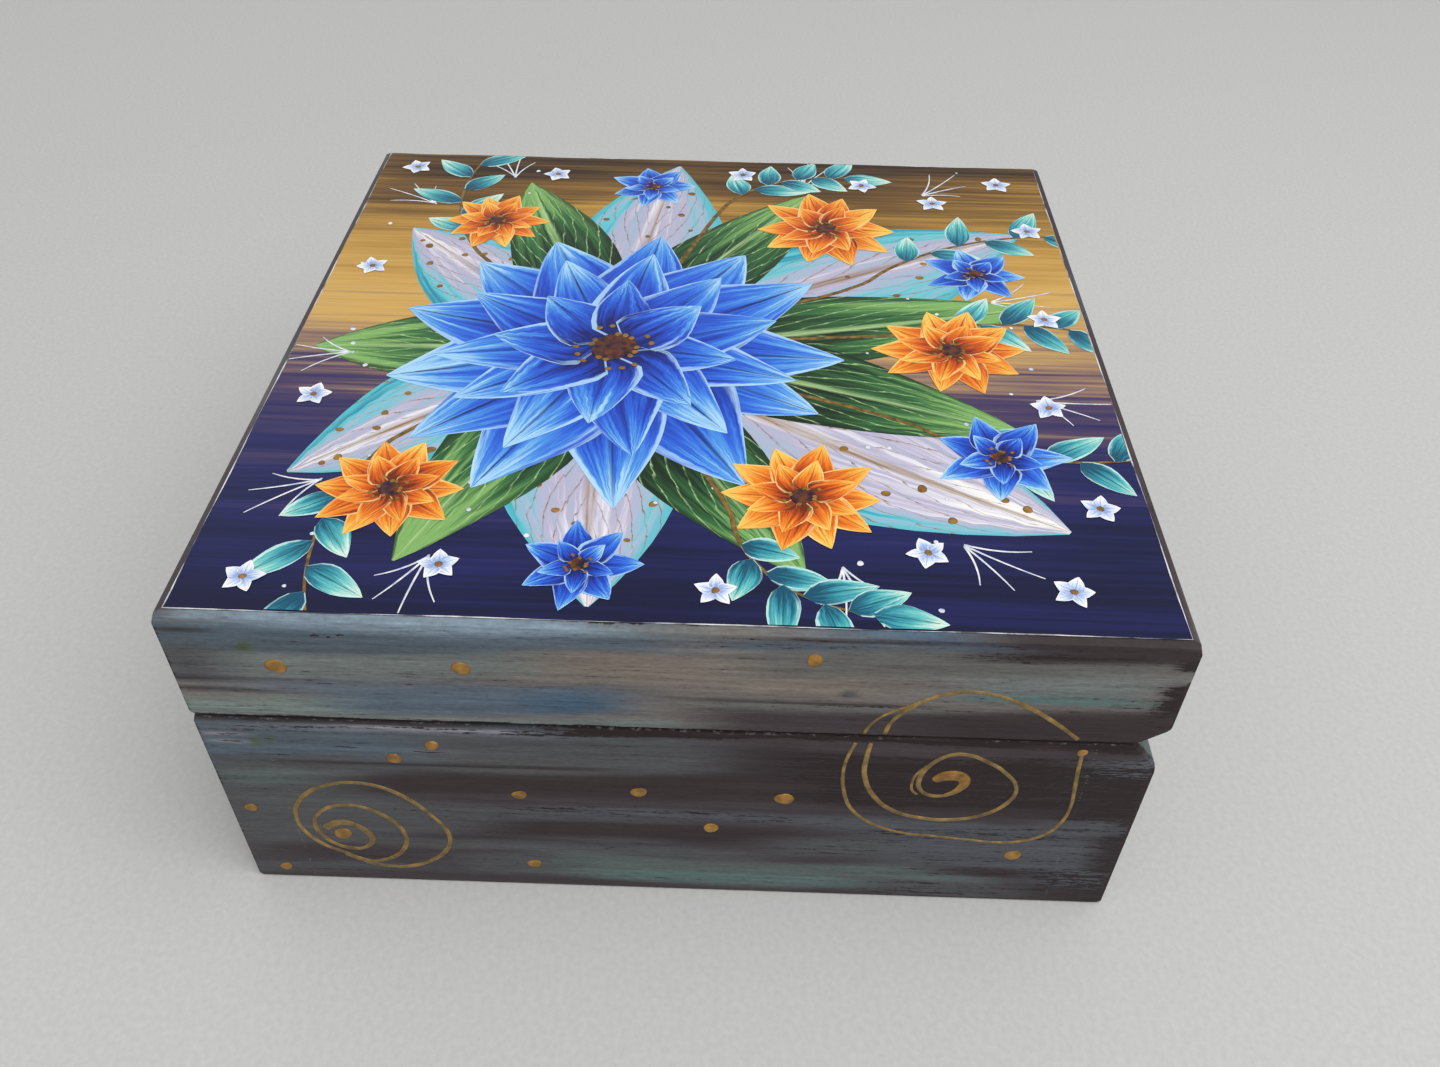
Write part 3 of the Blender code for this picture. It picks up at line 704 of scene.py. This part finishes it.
# Gold lines by side and body: points, line width, and how much fuller the first points are, as many as
# FULL_START says. The press of the hand varies the width.
SIDE_LINES = {
    "right": {
        "base": [(LEFT_SPIRAL, 0.95, 1.7), (SCROLL_BASE_INNER, 0.85, 1.2), (SCROLL_RING_TAIL, 0.55, 1.0),
                 (SCROLL_BASE_OUTER, 0.65, 1.2)],
        "lid": [(SCROLL_LID_ARCH, 0.85, 1.0), (SCROLL_LID_TAIL, 0.65, 1.0)]},
    "left": {
        "base": [(spiral((50, 22), (-2.0, 1.0), 2.4, 4.6, 2.5, 0.3), 1.0, 1.5)],
        "lid": [(spiral((-46, 60), (1.0, 0.2), 1.2, 2.9, 2.2, 0.1, 1), 0.9, 1.5)]},
    "front": {
        "base": [(spiral((-48, 25), (2.4, -1.0), 2.4, 4.8, 2.4, 0.7), 1.0, 1.5)],
        "lid": [(spiral((30, 60), (1.0, 0.2), 1.2, 2.9, 2.2, 0.2, 1), 0.9, 1.5)]},
    "back": {
        "base": [(spiral((10, 19), (2.0, 1.0), 2.2, 4.3, 2.4, 0.4), 1.0, 1.5)],
        "lid": []},
}
FULL_START = 8
HAND_PRESS = (0.82, 1.18)
# Gold dabs by side and body: place across and up the face, and width.
SIDE_DABS = {
    "right": {
        "base": [(-47.9, 38.1, 2.8), (-40.9, 42.0, 2.5), (-76.1, 22.4, 2.3), (-74.0, 3.6, 2.3),
                 (-27.5, 28.8, 2.4), (-6.6, 30.7, 2.7), (18.6, 30.2, 3.2), (6.0, 20.7, 2.6),
                 (-26.7, 7.3, 2.4), (60.6, 15.2, 3.1), (-61.0, 15.1, 3.4), (44.3, 37.4, 2.1),
                 (66.8, 45.6, 1.7)],
        "lid": [(-62.7, 60.9, 3.4), (-33.4, 61.8, 3.1), (21.6, 66.2, 2.9)]},
    "left": {
        "base": [(-64, 38, 2.5), (-38, 26, 2.3), (-12, 36, 2.6), (8, 14, 2.3), (-56, 9, 2.4), (50, 22, 3.4)],
        "lid": [(14, 64, 2.4), (52, 58, 2.6)]},
    "front": {
        "base": [(-10, 36, 2.5), (14, 30, 2.3), (62, 30, 2.5), (38, 12, 2.6), (-8, 9, 2.4), (-48, 25, 3.4)],
        "lid": [(-58, 62, 2.5), (-8, 58, 2.4), (58, 65, 2.6)]},
    "back": {
        "base": [(-60, 20, 2.5), (-34, 10, 2.3), (58, 14, 2.5), (44, 30, 2.3), (-18, 34, 2.4), (10, 19, 3.4)],
        "lid": [(-20, 62, 2.5), (26, 66, 2.3)]},
}
# Short marks where the undercoat shows through on the photographed side, by body: points and width, which
# changes along the mark by these shares.
UNDERCOAT_MARKS = {
    "base": [([(-57.3, 41.0), (-55.5, 40.9), (-53.6, 40.7)], 0.25),
             ([(-44.2, 40.3), (-41.4, 40.1), (-38.9, 40.3)], 0.25)],
    "lid": [([(-55.7, 68.3), (-55.0, 68.5), (-54.3, 68.4)], 0.4),
            ([(-53.2, 68.0), (-52.9, 68.2), (-52.6, 68.1)], 0.4),
            ([(-51.6, 68.5), (-51.0, 68.7), (-50.4, 68.6)], 0.35)]}
MARK_SHARES = (0.7, 1.0, 0.5)


def undercoat_marks(finish):
    """Small scratches in the paint, a piece for each body; unpainted, they show the undercoat."""
    for body, marks in UNDERCOAT_MARKS.items():
        bm = bmesh.new()
        for points, width in marks:
            widths = [width * share for share in MARK_SHARES]
            join(bm, drawn_line(points, widths, MARK_RELIEF, SIDES["right"]))
        add_piece(f"undercoat_marks_{body}", bm, finish, body)


def gold_ornament(line_finish, dab_finish):
    """Every gold line and dab of the four sides, in pieces by side and body."""
    draw = random.Random(41)
    for side, board in SIDES.items():
        for body in ("base", "lid"):
            lines, dabs = bmesh.new(), bmesh.new()
            for points, width, fuller in SIDE_LINES[side][body]:
                widths = [width * draw.uniform(*HAND_PRESS) for _ in points]
                for index in range(min(FULL_START, len(points))):
                    widths[index] *= fuller + (1 - fuller) * index / FULL_START
                join(lines, drawn_line(points, widths, PAINT_RELIEF, board))
            for across, up, width in SIDE_DABS[side][body]:
                paint_dab(dabs, (across, up), width, PAINT_RELIEF, board, draw)
            if (side, body) == ("right", "base"):
                join(dabs, drawn_line(SCROLL_COMMA, COMMA_WIDTHS, PAINT_RELIEF, board))
            for kind, bm, finish in (("lines", lines, line_finish), ("dabs", dabs, dab_finish)):
                if bm.faces:
                    bmesh.ops.recalc_face_normals(bm, faces=bm.faces)
                    piece = add_piece(f"gold_{kind}_{side}_{body}", bm, finish, body)
                    piece.data.shade_smooth()


# The print: a white sheet, its printed ground a hair smaller, then printed layers stacked on it.
PRINT_MARGIN = 0.04 * MM
PRINT_WAVER = 0.5 * MM
PRINT_TRIM = 0.36 * MM
TRIM_SNAP = 0.00001 * MM
SHEET_TOP = PRINT_LOW.z + 0.04 * MM
GROUND_TOP = SHEET_TOP + 0.02 * MM
SHEET_STEP, GROUND_STEP = 4 * MM, 2 * MM
KNIFE_STRAY = (0.6, 1.0)
KNIFE_WAVES = (31, 23)
AT_EDGE = 0.4999
LAYER_STEP = 0.02 * MM
LAYER_THICKNESS = 0.0006 * MM
# Layers are counted upwards from the ground, and pieces of one layer lie a little above one another.
PALE_LEAF_LAYER, GREEN_LEAF_LAYER = 1, 2
STEM_LAYER, SPRIG_LEAF_LAYER = 3, 3.4
HEART_LAYER, DOT_LAYER = 8, 9
PALE_DOT_LAYER, WHITE_DOT_LAYER = 1.72, 2.8
PALE_DOT_RELIEF = 0.22 * LAYER_STEP
RING_LIFT = 0.7
LEAF_LIFT = 0.05
BOUQUET_LIFT = 0.12


def layer_top(layer):
    """The height of one printed layer."""
    return GROUND_TOP + LAYER_STEP * layer


def print_board(layer):
    """The lid's face at the height of one printed layer."""
    return drawing_board((1, 0, 0), (0, 1, 0), (0, 0, 1), (0, 0, layer_top(layer)))


def trimmed_sheet(low, high, step, waver, draw):
    """A thin sheet with an edge that wavers as a hand-held knife leaves it."""
    bm = bmesh.new()
    size = high - low
    columns, rows = int(size.x / step), int(size.y / step)
    bmesh.ops.create_grid(bm, x_segments=columns, y_segments=rows, size=0.5)
    for vert in bm.verts:
        wave = sin(KNIFE_WAVES[0] * vert.co.x - KNIFE_WAVES[1] * vert.co.y)
        stray = draw.uniform(*KNIFE_STRAY) * (0.5 + 0.5 * wave)
        on_edge = abs(vert.co.x) > AT_EDGE or abs(vert.co.y) > AT_EDGE
        trim = 1 - on_edge * waver * stray / size.x
        vert.co = Vector(((low.x + high.x) / 2 + vert.co.x * size.x * trim,
                          (low.y + high.y) / 2 + vert.co.y * size.y * trim, high.z))
    bmesh.ops.solidify(bm, geom=bm.faces[:], thickness=size.z)
    bmesh.ops.recalc_face_normals(bm, faces=bm.faces)
    return bm


def clip_to_print(bm):
    """Cut off what runs past the printed ground, as the print's own edge does."""
    for axis, sign in ((0, -1), (0, 1), (1, -1), (1, 1)):
        outwards = Vector((axis == 0, axis == 1, 0)) * sign
        edge = (PRINT_HIGH if sign > 0 else PRINT_LOW) - outwards * PRINT_TRIM
        everything = bm.verts[:] + bm.edges[:] + bm.faces[:]
        bmesh.ops.bisect_plane(bm, geom=everything, dist=TRIM_SNAP, plane_co=edge, plane_no=outwards,
                               clear_outer=True)


def point_from(place, turn, along, aside=0.0):
    """The point that lies so far along a turn from a place, and so far to its right."""
    return (place[0] + along * sin(turn) + aside * cos(turn),
            place[1] + along * cos(turn) - aside * sin(turn))


# A petal's grid, and its outline: open ends, roundness, ripple along the edge. Then how petals of a ring
# and leaves of a sprig differ.
LARGE_PETAL, LARGE_GRID, SMALL_GRID = 24, (4, 14), (2, 8)
PETAL_SHIFT = 9
PETAL_END, PETAL_SPAN = 0.004, 0.992
PETAL_ROUND = 0.85
PETAL_RIPPLE, RIPPLE_WAVE = 0.05, 8
RING_LENGTH, RING_WIDTH = (0.92, 1.06), (0.9, 1.12)
RING_TURN, RING_BEND, RING_FULLNESS = 4, 0.05, 0.55
SPRIG_LENGTH, SPRIG_WIDTH = (0.8, 1.15), 0.46
SPRIG_LEAN, SPRIG_TURN, SPRIG_FULLNESS = 48, 8, 0.75


def petal(bm, root, heading, length, width, layer, fullness, bend, draw):
    """One petal or leaf lying flat: a grid drawn out to its outline from root to tip."""
    columns, rows = LARGE_GRID if length > LARGE_PETAL else SMALL_GRID
    made = bmesh.ops.create_grid(bm, x_segments=columns, y_segments=rows, size=0.5, calc_uvs=True)
    shift_layer = bm.verts.layers.float["petal_shift"]
    shift = draw.uniform(0, PETAL_SHIFT)
    for vert in made["verts"]:
        side = vert.co.x * 2
        reach = vert.co.y + 0.5
        half = width / 2 * sin(pi * (PETAL_END + PETAL_SPAN * reach) ** fullness) ** PETAL_ROUND
        ripple = 1 + PETAL_RIPPLE * sin(RIPPLE_WAVE * reach + shift + side)
        across = side * half * ripple + bend * reach * reach
        vert.co = Vector((*point_from(root, radians(heading), length * reach, across), 0)) * MM
        vert.co.z = layer_top(layer)
        vert[shift_layer] = shift


# Printed brushwork: the name of its ink, its colours from root to tip, edge and vein, then how many side
# veins it has and how far its colours run from edge to middle instead.
PETAL_INKS = {
    "pale_leaves": ("pale_leaf", (
        (0.1, "#1d8aa6"), (0.32, "#5cc2cc"), (0.5, "#9db7cc"), (0.68, "#b6b0c8"), (0.86, "#dcdae4"),
        (1.0, "#f1efec")), "#4fb9c6", "#8a6a4a", 10, 0.6),
    "green_leaves": ("green_leaf", (
        (0.2, "#0a150d"), (0.45, "#17331d"), (0.7, "#33683a"), (0.95, "#7fae62")), "#0f2415", "#a9c98a", 8),
    "sprig_leaves": ("sprig_leaf", (
        (0.1, "#14506a"), (0.4, "#2f8fa0"), (0.7, "#6cc4c0"), (1.0, "#d6ecdc")), "#c9ece6", "#0f4458"),
    "blue_petals": ("blue_petal", (
        (0.1, "#0f1c66"), (0.35, "#1c42b4"), (0.58, "#2c64d6"), (0.8, "#4f97e2"), (1.0, "#a6d4f2")),
        "#b4daf4", "#14226e"),
    "orange_petals": ("orange_petal", (
        (0.1, "#6b2708"), (0.35, "#c64d0d"), (0.65, "#ec8420"), (0.95, "#f7c65a")), "#f6d486", "#8f3a0c"),
    "florets": ("floret", (
        (0.1, "#8fa6d8"), (0.45, "#cfdcf0"), (0.8, "#f4f4f0")), "#ffffff", "#7d8fc4"),
}


def print_piece(kind, bm, finish):
    """A printed layer as a piece of the lid."""
    bmesh.ops.recalc_face_normals(bm, faces=bm.faces)
    return add_piece("lid_print_" + kind, bm, finish, "lid")


def petal_piece(kind, petals, draw):
    """One printed layer of petals or leaves."""
    bm = bmesh.new()
    bm.loops.layers.uv.new("petal")
    bm.verts.layers.float.new("petal_shift")
    for row in petals:
        petal(bm, *row, draw)
    clip_to_print(bm)
    bmesh.ops.solidify(bm, geom=bm.faces[:], thickness=LAYER_THICKNESS)
    print_piece(kind, bm, printed_petal(*PETAL_INKS[kind]))


def touch_piece(kind, bm, finish):
    """One printed layer of stems, blades or dots."""
    clip_to_print(bm)
    bmesh.ops.holes_fill(bm, edges=bm.edges)
    return print_piece(kind, bm, finish)


def ring(centre, count, inner, length, width, layer, start, draw):
    """A ring of petals round a blossom's middle, none quite like the next."""
    petals = []
    for index in range(count):
        heading = start + 360 * index / count + draw.uniform(-RING_TURN, RING_TURN)
        petals.append((point_from(centre, radians(heading), inner), heading,
                       length * draw.uniform(*RING_LENGTH), width * draw.uniform(*RING_WIDTH),
                       layer + RING_LIFT * index / count, RING_FULLNESS,
                       draw.uniform(-RING_BEND, RING_BEND) * length))
    return petals


def small_blossoms(places, rings, draw):
    """Petals of all blossoms of one kind, each in its own size."""
    petals = []
    for place, size in places:
        for count, inner, share, less, breadth, layer, start in rings:
            petals += ring(place, count, inner, size * share - less, size * breadth, layer, start, draw)
    return petals


def sprig_path(start, heading, length, curl, steps=9):
    """The stem of a sprig: it leaves its root at the heading and turns evenly by the curl."""
    points = [start]
    for step in range(steps):
        points.append(point_from(points[-1], radians(heading + curl * step / steps), length / steps))
    return points


def sprig_leaves(path, size, layer, draw):
    """Small leaves in turn on either side of a stem, and one at its tip."""
    leaves = []
    for index in range(2, len(path)):
        run = Vector(path[index]) - Vector(path[index - 1])
        lean = SPRIG_LEAN if index % 2 else -SPRIG_LEAN
        if index == len(path) - 1:
            lean = 0
        heading = atan2(run.x, run.y) * 180 / pi + lean + draw.uniform(-SPRIG_TURN, SPRIG_TURN)
        leaves.append((path[index], heading, size * draw.uniform(*SPRIG_LENGTH), size * SPRIG_WIDTH,
                       layer + LEAF_LIFT * index, SPRIG_FULLNESS, 0))
    return leaves


# The bouquet, in millimetres across and up the print: headings turn clockwise from straight up.
BLOSSOM = (4, -16)
PALE_LEAVES = [
    (-34, 98, 46, 8), (37, 94, 46, -8), (-88, 78, 38, 6), (93, 70, 38, -6), (-141, 66, 34, 4),
    (146, 66, 34, -4)]
GREEN_LEAVES = [
    (-9, 86, 25, -5), (14, 80, 25, 5), (-62, 76, 24, 5), (64, 72, 24, -5), (-114, 72, 24, 4),
    (119, 68, 24, -4), (178, 58, 26, 0)]
PALE_FULLNESS, GREEN_FULLNESS = 0.72, 0.85
SPRIGS = [
    ((-22, 34), -48, 62, 60), ((26, 40), 34, 56, -70), ((-30, -48), -120, 56, 60), ((34, -52), 118, 52, -60),
    ((-4, 44), -20, 40, 46), ((52, 8), 80, 34, -80), ((-54, 4), -60, 34, 70)]
ORANGE_BLOSSOMS = [((-45, 27), 16), ((47, 20), 14), ((-45, -47), 12), ((48, -50), 13), ((2, 50), 15)]
SMALL_BLUE_BLOSSOMS = [((-27, 58), 10), ((35, 55), 11), ((65, -16), 9), ((-63, -13), 9)]
FLORETS = [
    (-58, 52), (-66, 36), (60, 40), (20, 66), (-10, 70), (68, 62), (-68, 68), (-68, -36), (66, -38),
    (-24, -70), (22, -70), (70, 6), (-70, 8), (48, 70), (-46, 72), (70, -68), (-70, -70)]
# Rings of petals: count, reach of the roots, length, width, layer, turn of the first.
BLUE_RINGS = ((13, 6, 40, 24, 4, 0), (11, 4, 31, 18, 5, 15), (8, 3, 21, 14, 6, 4))
FLORET_RING, FLORET_TURN = (5, 0.4, 3.2, 2.6, 7), 70
# On small blossoms, length and width are shares of the blossom's size, and so much comes off the length.
SMALL_BLUE_RINGS = ((7, 1.2, 1.0, 0, 0.66, 4, 0), (5, 1, 0.6, 0, 0.42, 5, 20))
ORANGE_RINGS = ((10, 1.5, 1.0, 1.5, 0.56, 6, 0), (8, 1.0, 0.64, 0, 0.4, 7, 20))
SPRIG_LEAF, STEM_TAPER = 12, 0.06
SPRAYS = [
    ((-62, 50), -40), ((58, 46), 42), ((-16, 60), -8), ((46, -62), 150), ((-52, -62), -140), ((64, 26), 76),
    ((-64, 22), -72), ((18, 64), 12), ((64, -40), 110), ((-66, -46), -104), ((8, -66), 176)]
SPRAY_BLADES = ((-26, 11), (-8, 14), (10, 12), (28, 9))
BLADE_WIDTHS = (0.42, 0.4, 0.36, 0.3, 0.2)
BLADE_SPREAD = 0.008
# Hearts with their seeds, then the dots along the pale leaves and the white dots round the blossom.
HEART, HEART_SHARE = 9, 0.3
SEEDS, SEEDS_SHARE = 6, 1.6
SEED_TURN, SEED_REACH, SEED_STEP = 2.4, 0.5, 0.32
SEED, SEED_SHARE = 0.5, 0.09
FLORET_DOT = 1.3
LEAF_DOTS, LEAF_DOT = 9, (1.1, 1.9)
DOTS_FROM, DOTS_STEP = 0.56, 0.044
DOTS_SWING, DOTS_WAVE = 0.3, 2.3
DOTS_WIDE, DOTS_NARROW = 1.15, 0.1
WHITE_DOTS, WHITE_DOT = 60, (0.6, 1.2)
WHITE_FIELD, BLOSSOM_REACH = (74, 75), 46


def print_ground(draw):
    """The white sheet, cut to the lid, and the printed ground on it."""
    top = Vector((PRINT_HIGH.x, PRINT_HIGH.y, SHEET_TOP))
    sheet = trimmed_sheet(PRINT_LOW, top, SHEET_STEP, 0.0, draw)
    add_piece("lid_print_sheet", sheet, cut_paper(), "lid", ["lid_print"])
    inset = Vector((PRINT_MARGIN, PRINT_MARGIN, 0))
    bottom = Vector((PRINT_LOW.x, PRINT_LOW.y, SHEET_TOP)) + inset
    top = Vector((PRINT_HIGH.x, PRINT_HIGH.y, GROUND_TOP)) - inset
    ground = trimmed_sheet(bottom, top, GROUND_STEP, PRINT_WAVER, draw)
    add_piece("lid_print_ground", ground, printed_ground(), "lid")


def print_leaves(draw):
    """The bouquet's large leaves, and its sprigs on their stems."""
    for kind, rows, layer, fullness in (("pale_leaves", PALE_LEAVES, PALE_LEAF_LAYER, PALE_FULLNESS),
                                        ("green_leaves", GREEN_LEAVES, GREEN_LEAF_LAYER, GREEN_FULLNESS)):
        petal_piece(kind, [(BLOSSOM, heading, length, width, layer + BOUQUET_LIFT * index, fullness, bend)
                           for index, (heading, length, width, bend) in enumerate(rows)], draw)
    sprigs, stems = [], bmesh.new()
    for row, (start, heading, length, curl) in enumerate(SPRIGS):
        path = sprig_path(start, heading, length, curl)
        sprigs += sprig_leaves(path, SPRIG_LEAF, SPRIG_LEAF_LAYER + LEAF_LIFT / 2 * (row % 2), draw)
        root = (Vector(BLOSSOM) + Vector(start)) / 2
        widths = [1.0 - STEM_TAPER * index for index in range(len(path) + 1)]
        join(stems, drawn_line([root] + path, widths, LAYER_STEP / 2, print_board(STEM_LAYER)))
    petal_piece("sprig_leaves", sprigs, draw)
    touch_piece("stems", stems, printed_ink("stem", "#5a4320", "#8d6f35"))


def print_blossoms(draw):
    """The blossoms of the bouquet, ring upon ring, and the florets round it."""
    blue, florets = [], []
    for row in BLUE_RINGS:
        blue += ring(BLOSSOM, *row, draw)
    blue += small_blossoms(SMALL_BLUE_BLOSSOMS, SMALL_BLUE_RINGS, draw)
    petal_piece("blue_petals", blue, draw)
    petal_piece("orange_petals", small_blossoms(ORANGE_BLOSSOMS, ORANGE_RINGS, draw), draw)
    for place in FLORETS:
        florets += ring(place, *FLORET_RING, draw.uniform(0, FLORET_TURN), draw)
    petal_piece("florets", florets, draw)


def print_touches(draw, gold_finish):
    """What the tip of a brush leaves: sprays of fine blades, the blossoms' hearts, dots of gold and white."""
    sprays, hearts, gold_dots, white_dots = bmesh.new(), bmesh.new(), bmesh.new(), bmesh.new()
    for place, heading in SPRAYS:
        for lean, length in SPRAY_BLADES:
            start = (place[0] + BLADE_SPREAD * lean, place[1])
            points = sprig_path(start, heading + lean, length, lean, len(BLADE_WIDTHS) - 1)
            join(sprays, drawn_line(points, BLADE_WIDTHS, LAYER_STEP / 2, print_board(STEM_LAYER)))
    small = [(place, size * HEART_SHARE) for place, size in ORANGE_BLOSSOMS + SMALL_BLUE_BLOSSOMS]
    for place, width in [(BLOSSOM, HEART)] + small:
        paint_dab(hearts, place, width, LAYER_STEP, print_board(HEART_LAYER), draw)
        for index in range(int(SEEDS + width * SEEDS_SHARE)):
            reach = width * (SEED_REACH + SEED_STEP * (index % 2))
            spot = point_from(place, SEED_TURN * index, reach)
            print_dot(gold_dots, spot, SEED + width * SEED_SHARE, LAYER_STEP, DOT_LAYER, draw)
    for place in FLORETS:
        print_dot(gold_dots, place, FLORET_DOT, LAYER_STEP, DOT_LAYER, draw)
    for heading, length, width, bend in PALE_LEAVES:
        for index in range(LEAF_DOTS):
            along = length * (DOTS_FROM + DOTS_STEP * index)
            swing = width * DOTS_SWING * sin(DOTS_WAVE * index)
            aside = swing * (DOTS_WIDE - DOTS_NARROW * index) + bend * (along / length) ** 2
            spot = point_from(BLOSSOM, radians(heading), along, aside)
            print_dot(gold_dots, spot, draw.uniform(*LEAF_DOT), PALE_DOT_RELIEF, PALE_DOT_LAYER, draw)
    for _ in range(WHITE_DOTS):
        spot = [draw.uniform(-half, half) for half in WHITE_FIELD]
        if hypot(spot[0] - BLOSSOM[0], spot[1] - BLOSSOM[1]) > BLOSSOM_REACH:
            print_dot(white_dots, spot, draw.uniform(*WHITE_DOT), LAYER_STEP / 2, WHITE_DOT_LAYER, draw)
    white_ink = printed_ink("white_ink", "#b9c4dc", "#f4f4f0")
    heart_ink = printed_ink("heart", "#1c1230", "#6a3a14")
    for kind, bm, finish in (("sprays", sprays, white_ink), ("white_dots", white_dots, white_ink),
                             ("hearts", hearts, heart_ink), ("gold_dots", gold_dots, gold_finish)):
        touch_piece(kind, bm, finish).data.shade_smooth()


def lid_print(gold_finish):
    """The varnished print on the lid: a bouquet on a brushed ground."""
    draw = random.Random(7)
    print_ground(draw)
    print_leaves(draw)
    print_blossoms(draw)
    print_touches(draw, gold_finish)


def keep_cad_nodes():
    """Panels and hinge pieces keep their CAD shapes and get their real finishes."""
    finishes = {
        "bottom_panel": birch_plywood("birch_plywood_bottom", 1),
        "top_panel": birch_plywood("birch_plywood_top", -1),
        "leaf": worked_metal("rolled_brass", "#d8b56a", "#8f6a34", 0.25),
        "screw": worked_metal("turned_brass_screw", "#dfc07c", "#94713c", 0.15),
        "pin": worked_metal("bright_steel_pin", "#c9c9c8", "#8d8a86", 0.15),
    }
    for name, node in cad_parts.items():
        for key, finish in finishes.items():
            if key in name:
                for slot in node.material_slots:
                    slot.material = finish


# Soft panels of light: place, size and power.
PANELS = {"sky_panel": ((0.42, 0.42, 1.1), 1.2, 12.0), "near_panel": ((1.2, 0.3, 0.7), 1.0, 2.0),
          "low_panel": ((-1.0, -0.9, 0.3), 0.8, 1.6)}
ROOM_LIGHT = 0.5
FLOOR_REACH = 3.0
NEAR_CLIP = 0.01


def studio():
    """The camera of the photograph, a pale cloth-grey floor and soft light from above."""
    scene = bpy.context.scene
    camera_data = bpy.data.cameras.new("camera")
    camera_data.sensor_fit = "HORIZONTAL"
    camera_data.sensor_width = CAMERA_SENSOR
    camera_data.lens = CAMERA_LENS
    camera_data.clip_start = NEAR_CLIP
    camera = put("camera", camera_data)
    sight = (CAMERA_TARGET - CAMERA_PLACE).to_track_quat("-Z", "Y").to_matrix().to_4x4()
    camera.matrix_world = Matrix.Translation(CAMERA_PLACE) @ sight @ Matrix.Rotation(CAMERA_ROLL, 4, "Z")
    scene.camera = camera

    material, node = new_finish("studio_floor", {"Roughness": 0.9})
    place = node("TexCoord", out="Object")
    weave = node("TexNoise", {"Vector": place, "Scale": 1 / (1.2 * MM), "Detail": 2.0})
    tone = node("ValToRGB", {0: weave}, stops=((0.3, "#bebebd"), (0.7, "#c6c6c5")))
    bm = bmesh.new()
    bmesh.ops.create_grid(bm, x_segments=1, y_segments=1, size=FLOOR_REACH)
    mesh = mesh_from(bm, "floor")
    mesh.materials.append(surface(material, tone))
    put("floor", mesh)

    for name, (place, size, power) in PANELS.items():
        lamp = bpy.data.lights.new(name, "AREA")
        lamp.size = size
        lamp.energy = power
        holder = put(name, lamp)
        holder.location = place
        holder.visible_camera = False
        holder.rotation_euler = (-Vector(place)).to_track_quat("-Z", "Y").to_euler()
    world = bpy.data.worlds.new("soft_room")
    world.use_nodes = True
    sky = world.node_tree.nodes["Background"]
    sky.inputs["Color"].default_value = linear("#ffffff")
    sky.inputs["Strength"].default_value = ROOM_LIGHT
    scene.world = world
    scene.view_settings.view_transform = "Standard"


studio()
acrylic = brushed_acrylic()
gold = gold_acrylic("gold_acrylic_dab", "#70501c", "#966c2a", "#b58539")
thin_gold = gold_acrylic("gold_acrylic_line", "#5f4c26", "#82693a", "#a38446")
for body_name in ("base", "lid"):
    for wall in ("front", "back", "left", "right"):
        painted_wall(f"{body_name}_{wall}_wall", body_name, acrylic)
gold_ornament(thin_gold, gold)
undercoat_marks(acrylic)
lid_print(gold)
keep_cad_nodes()
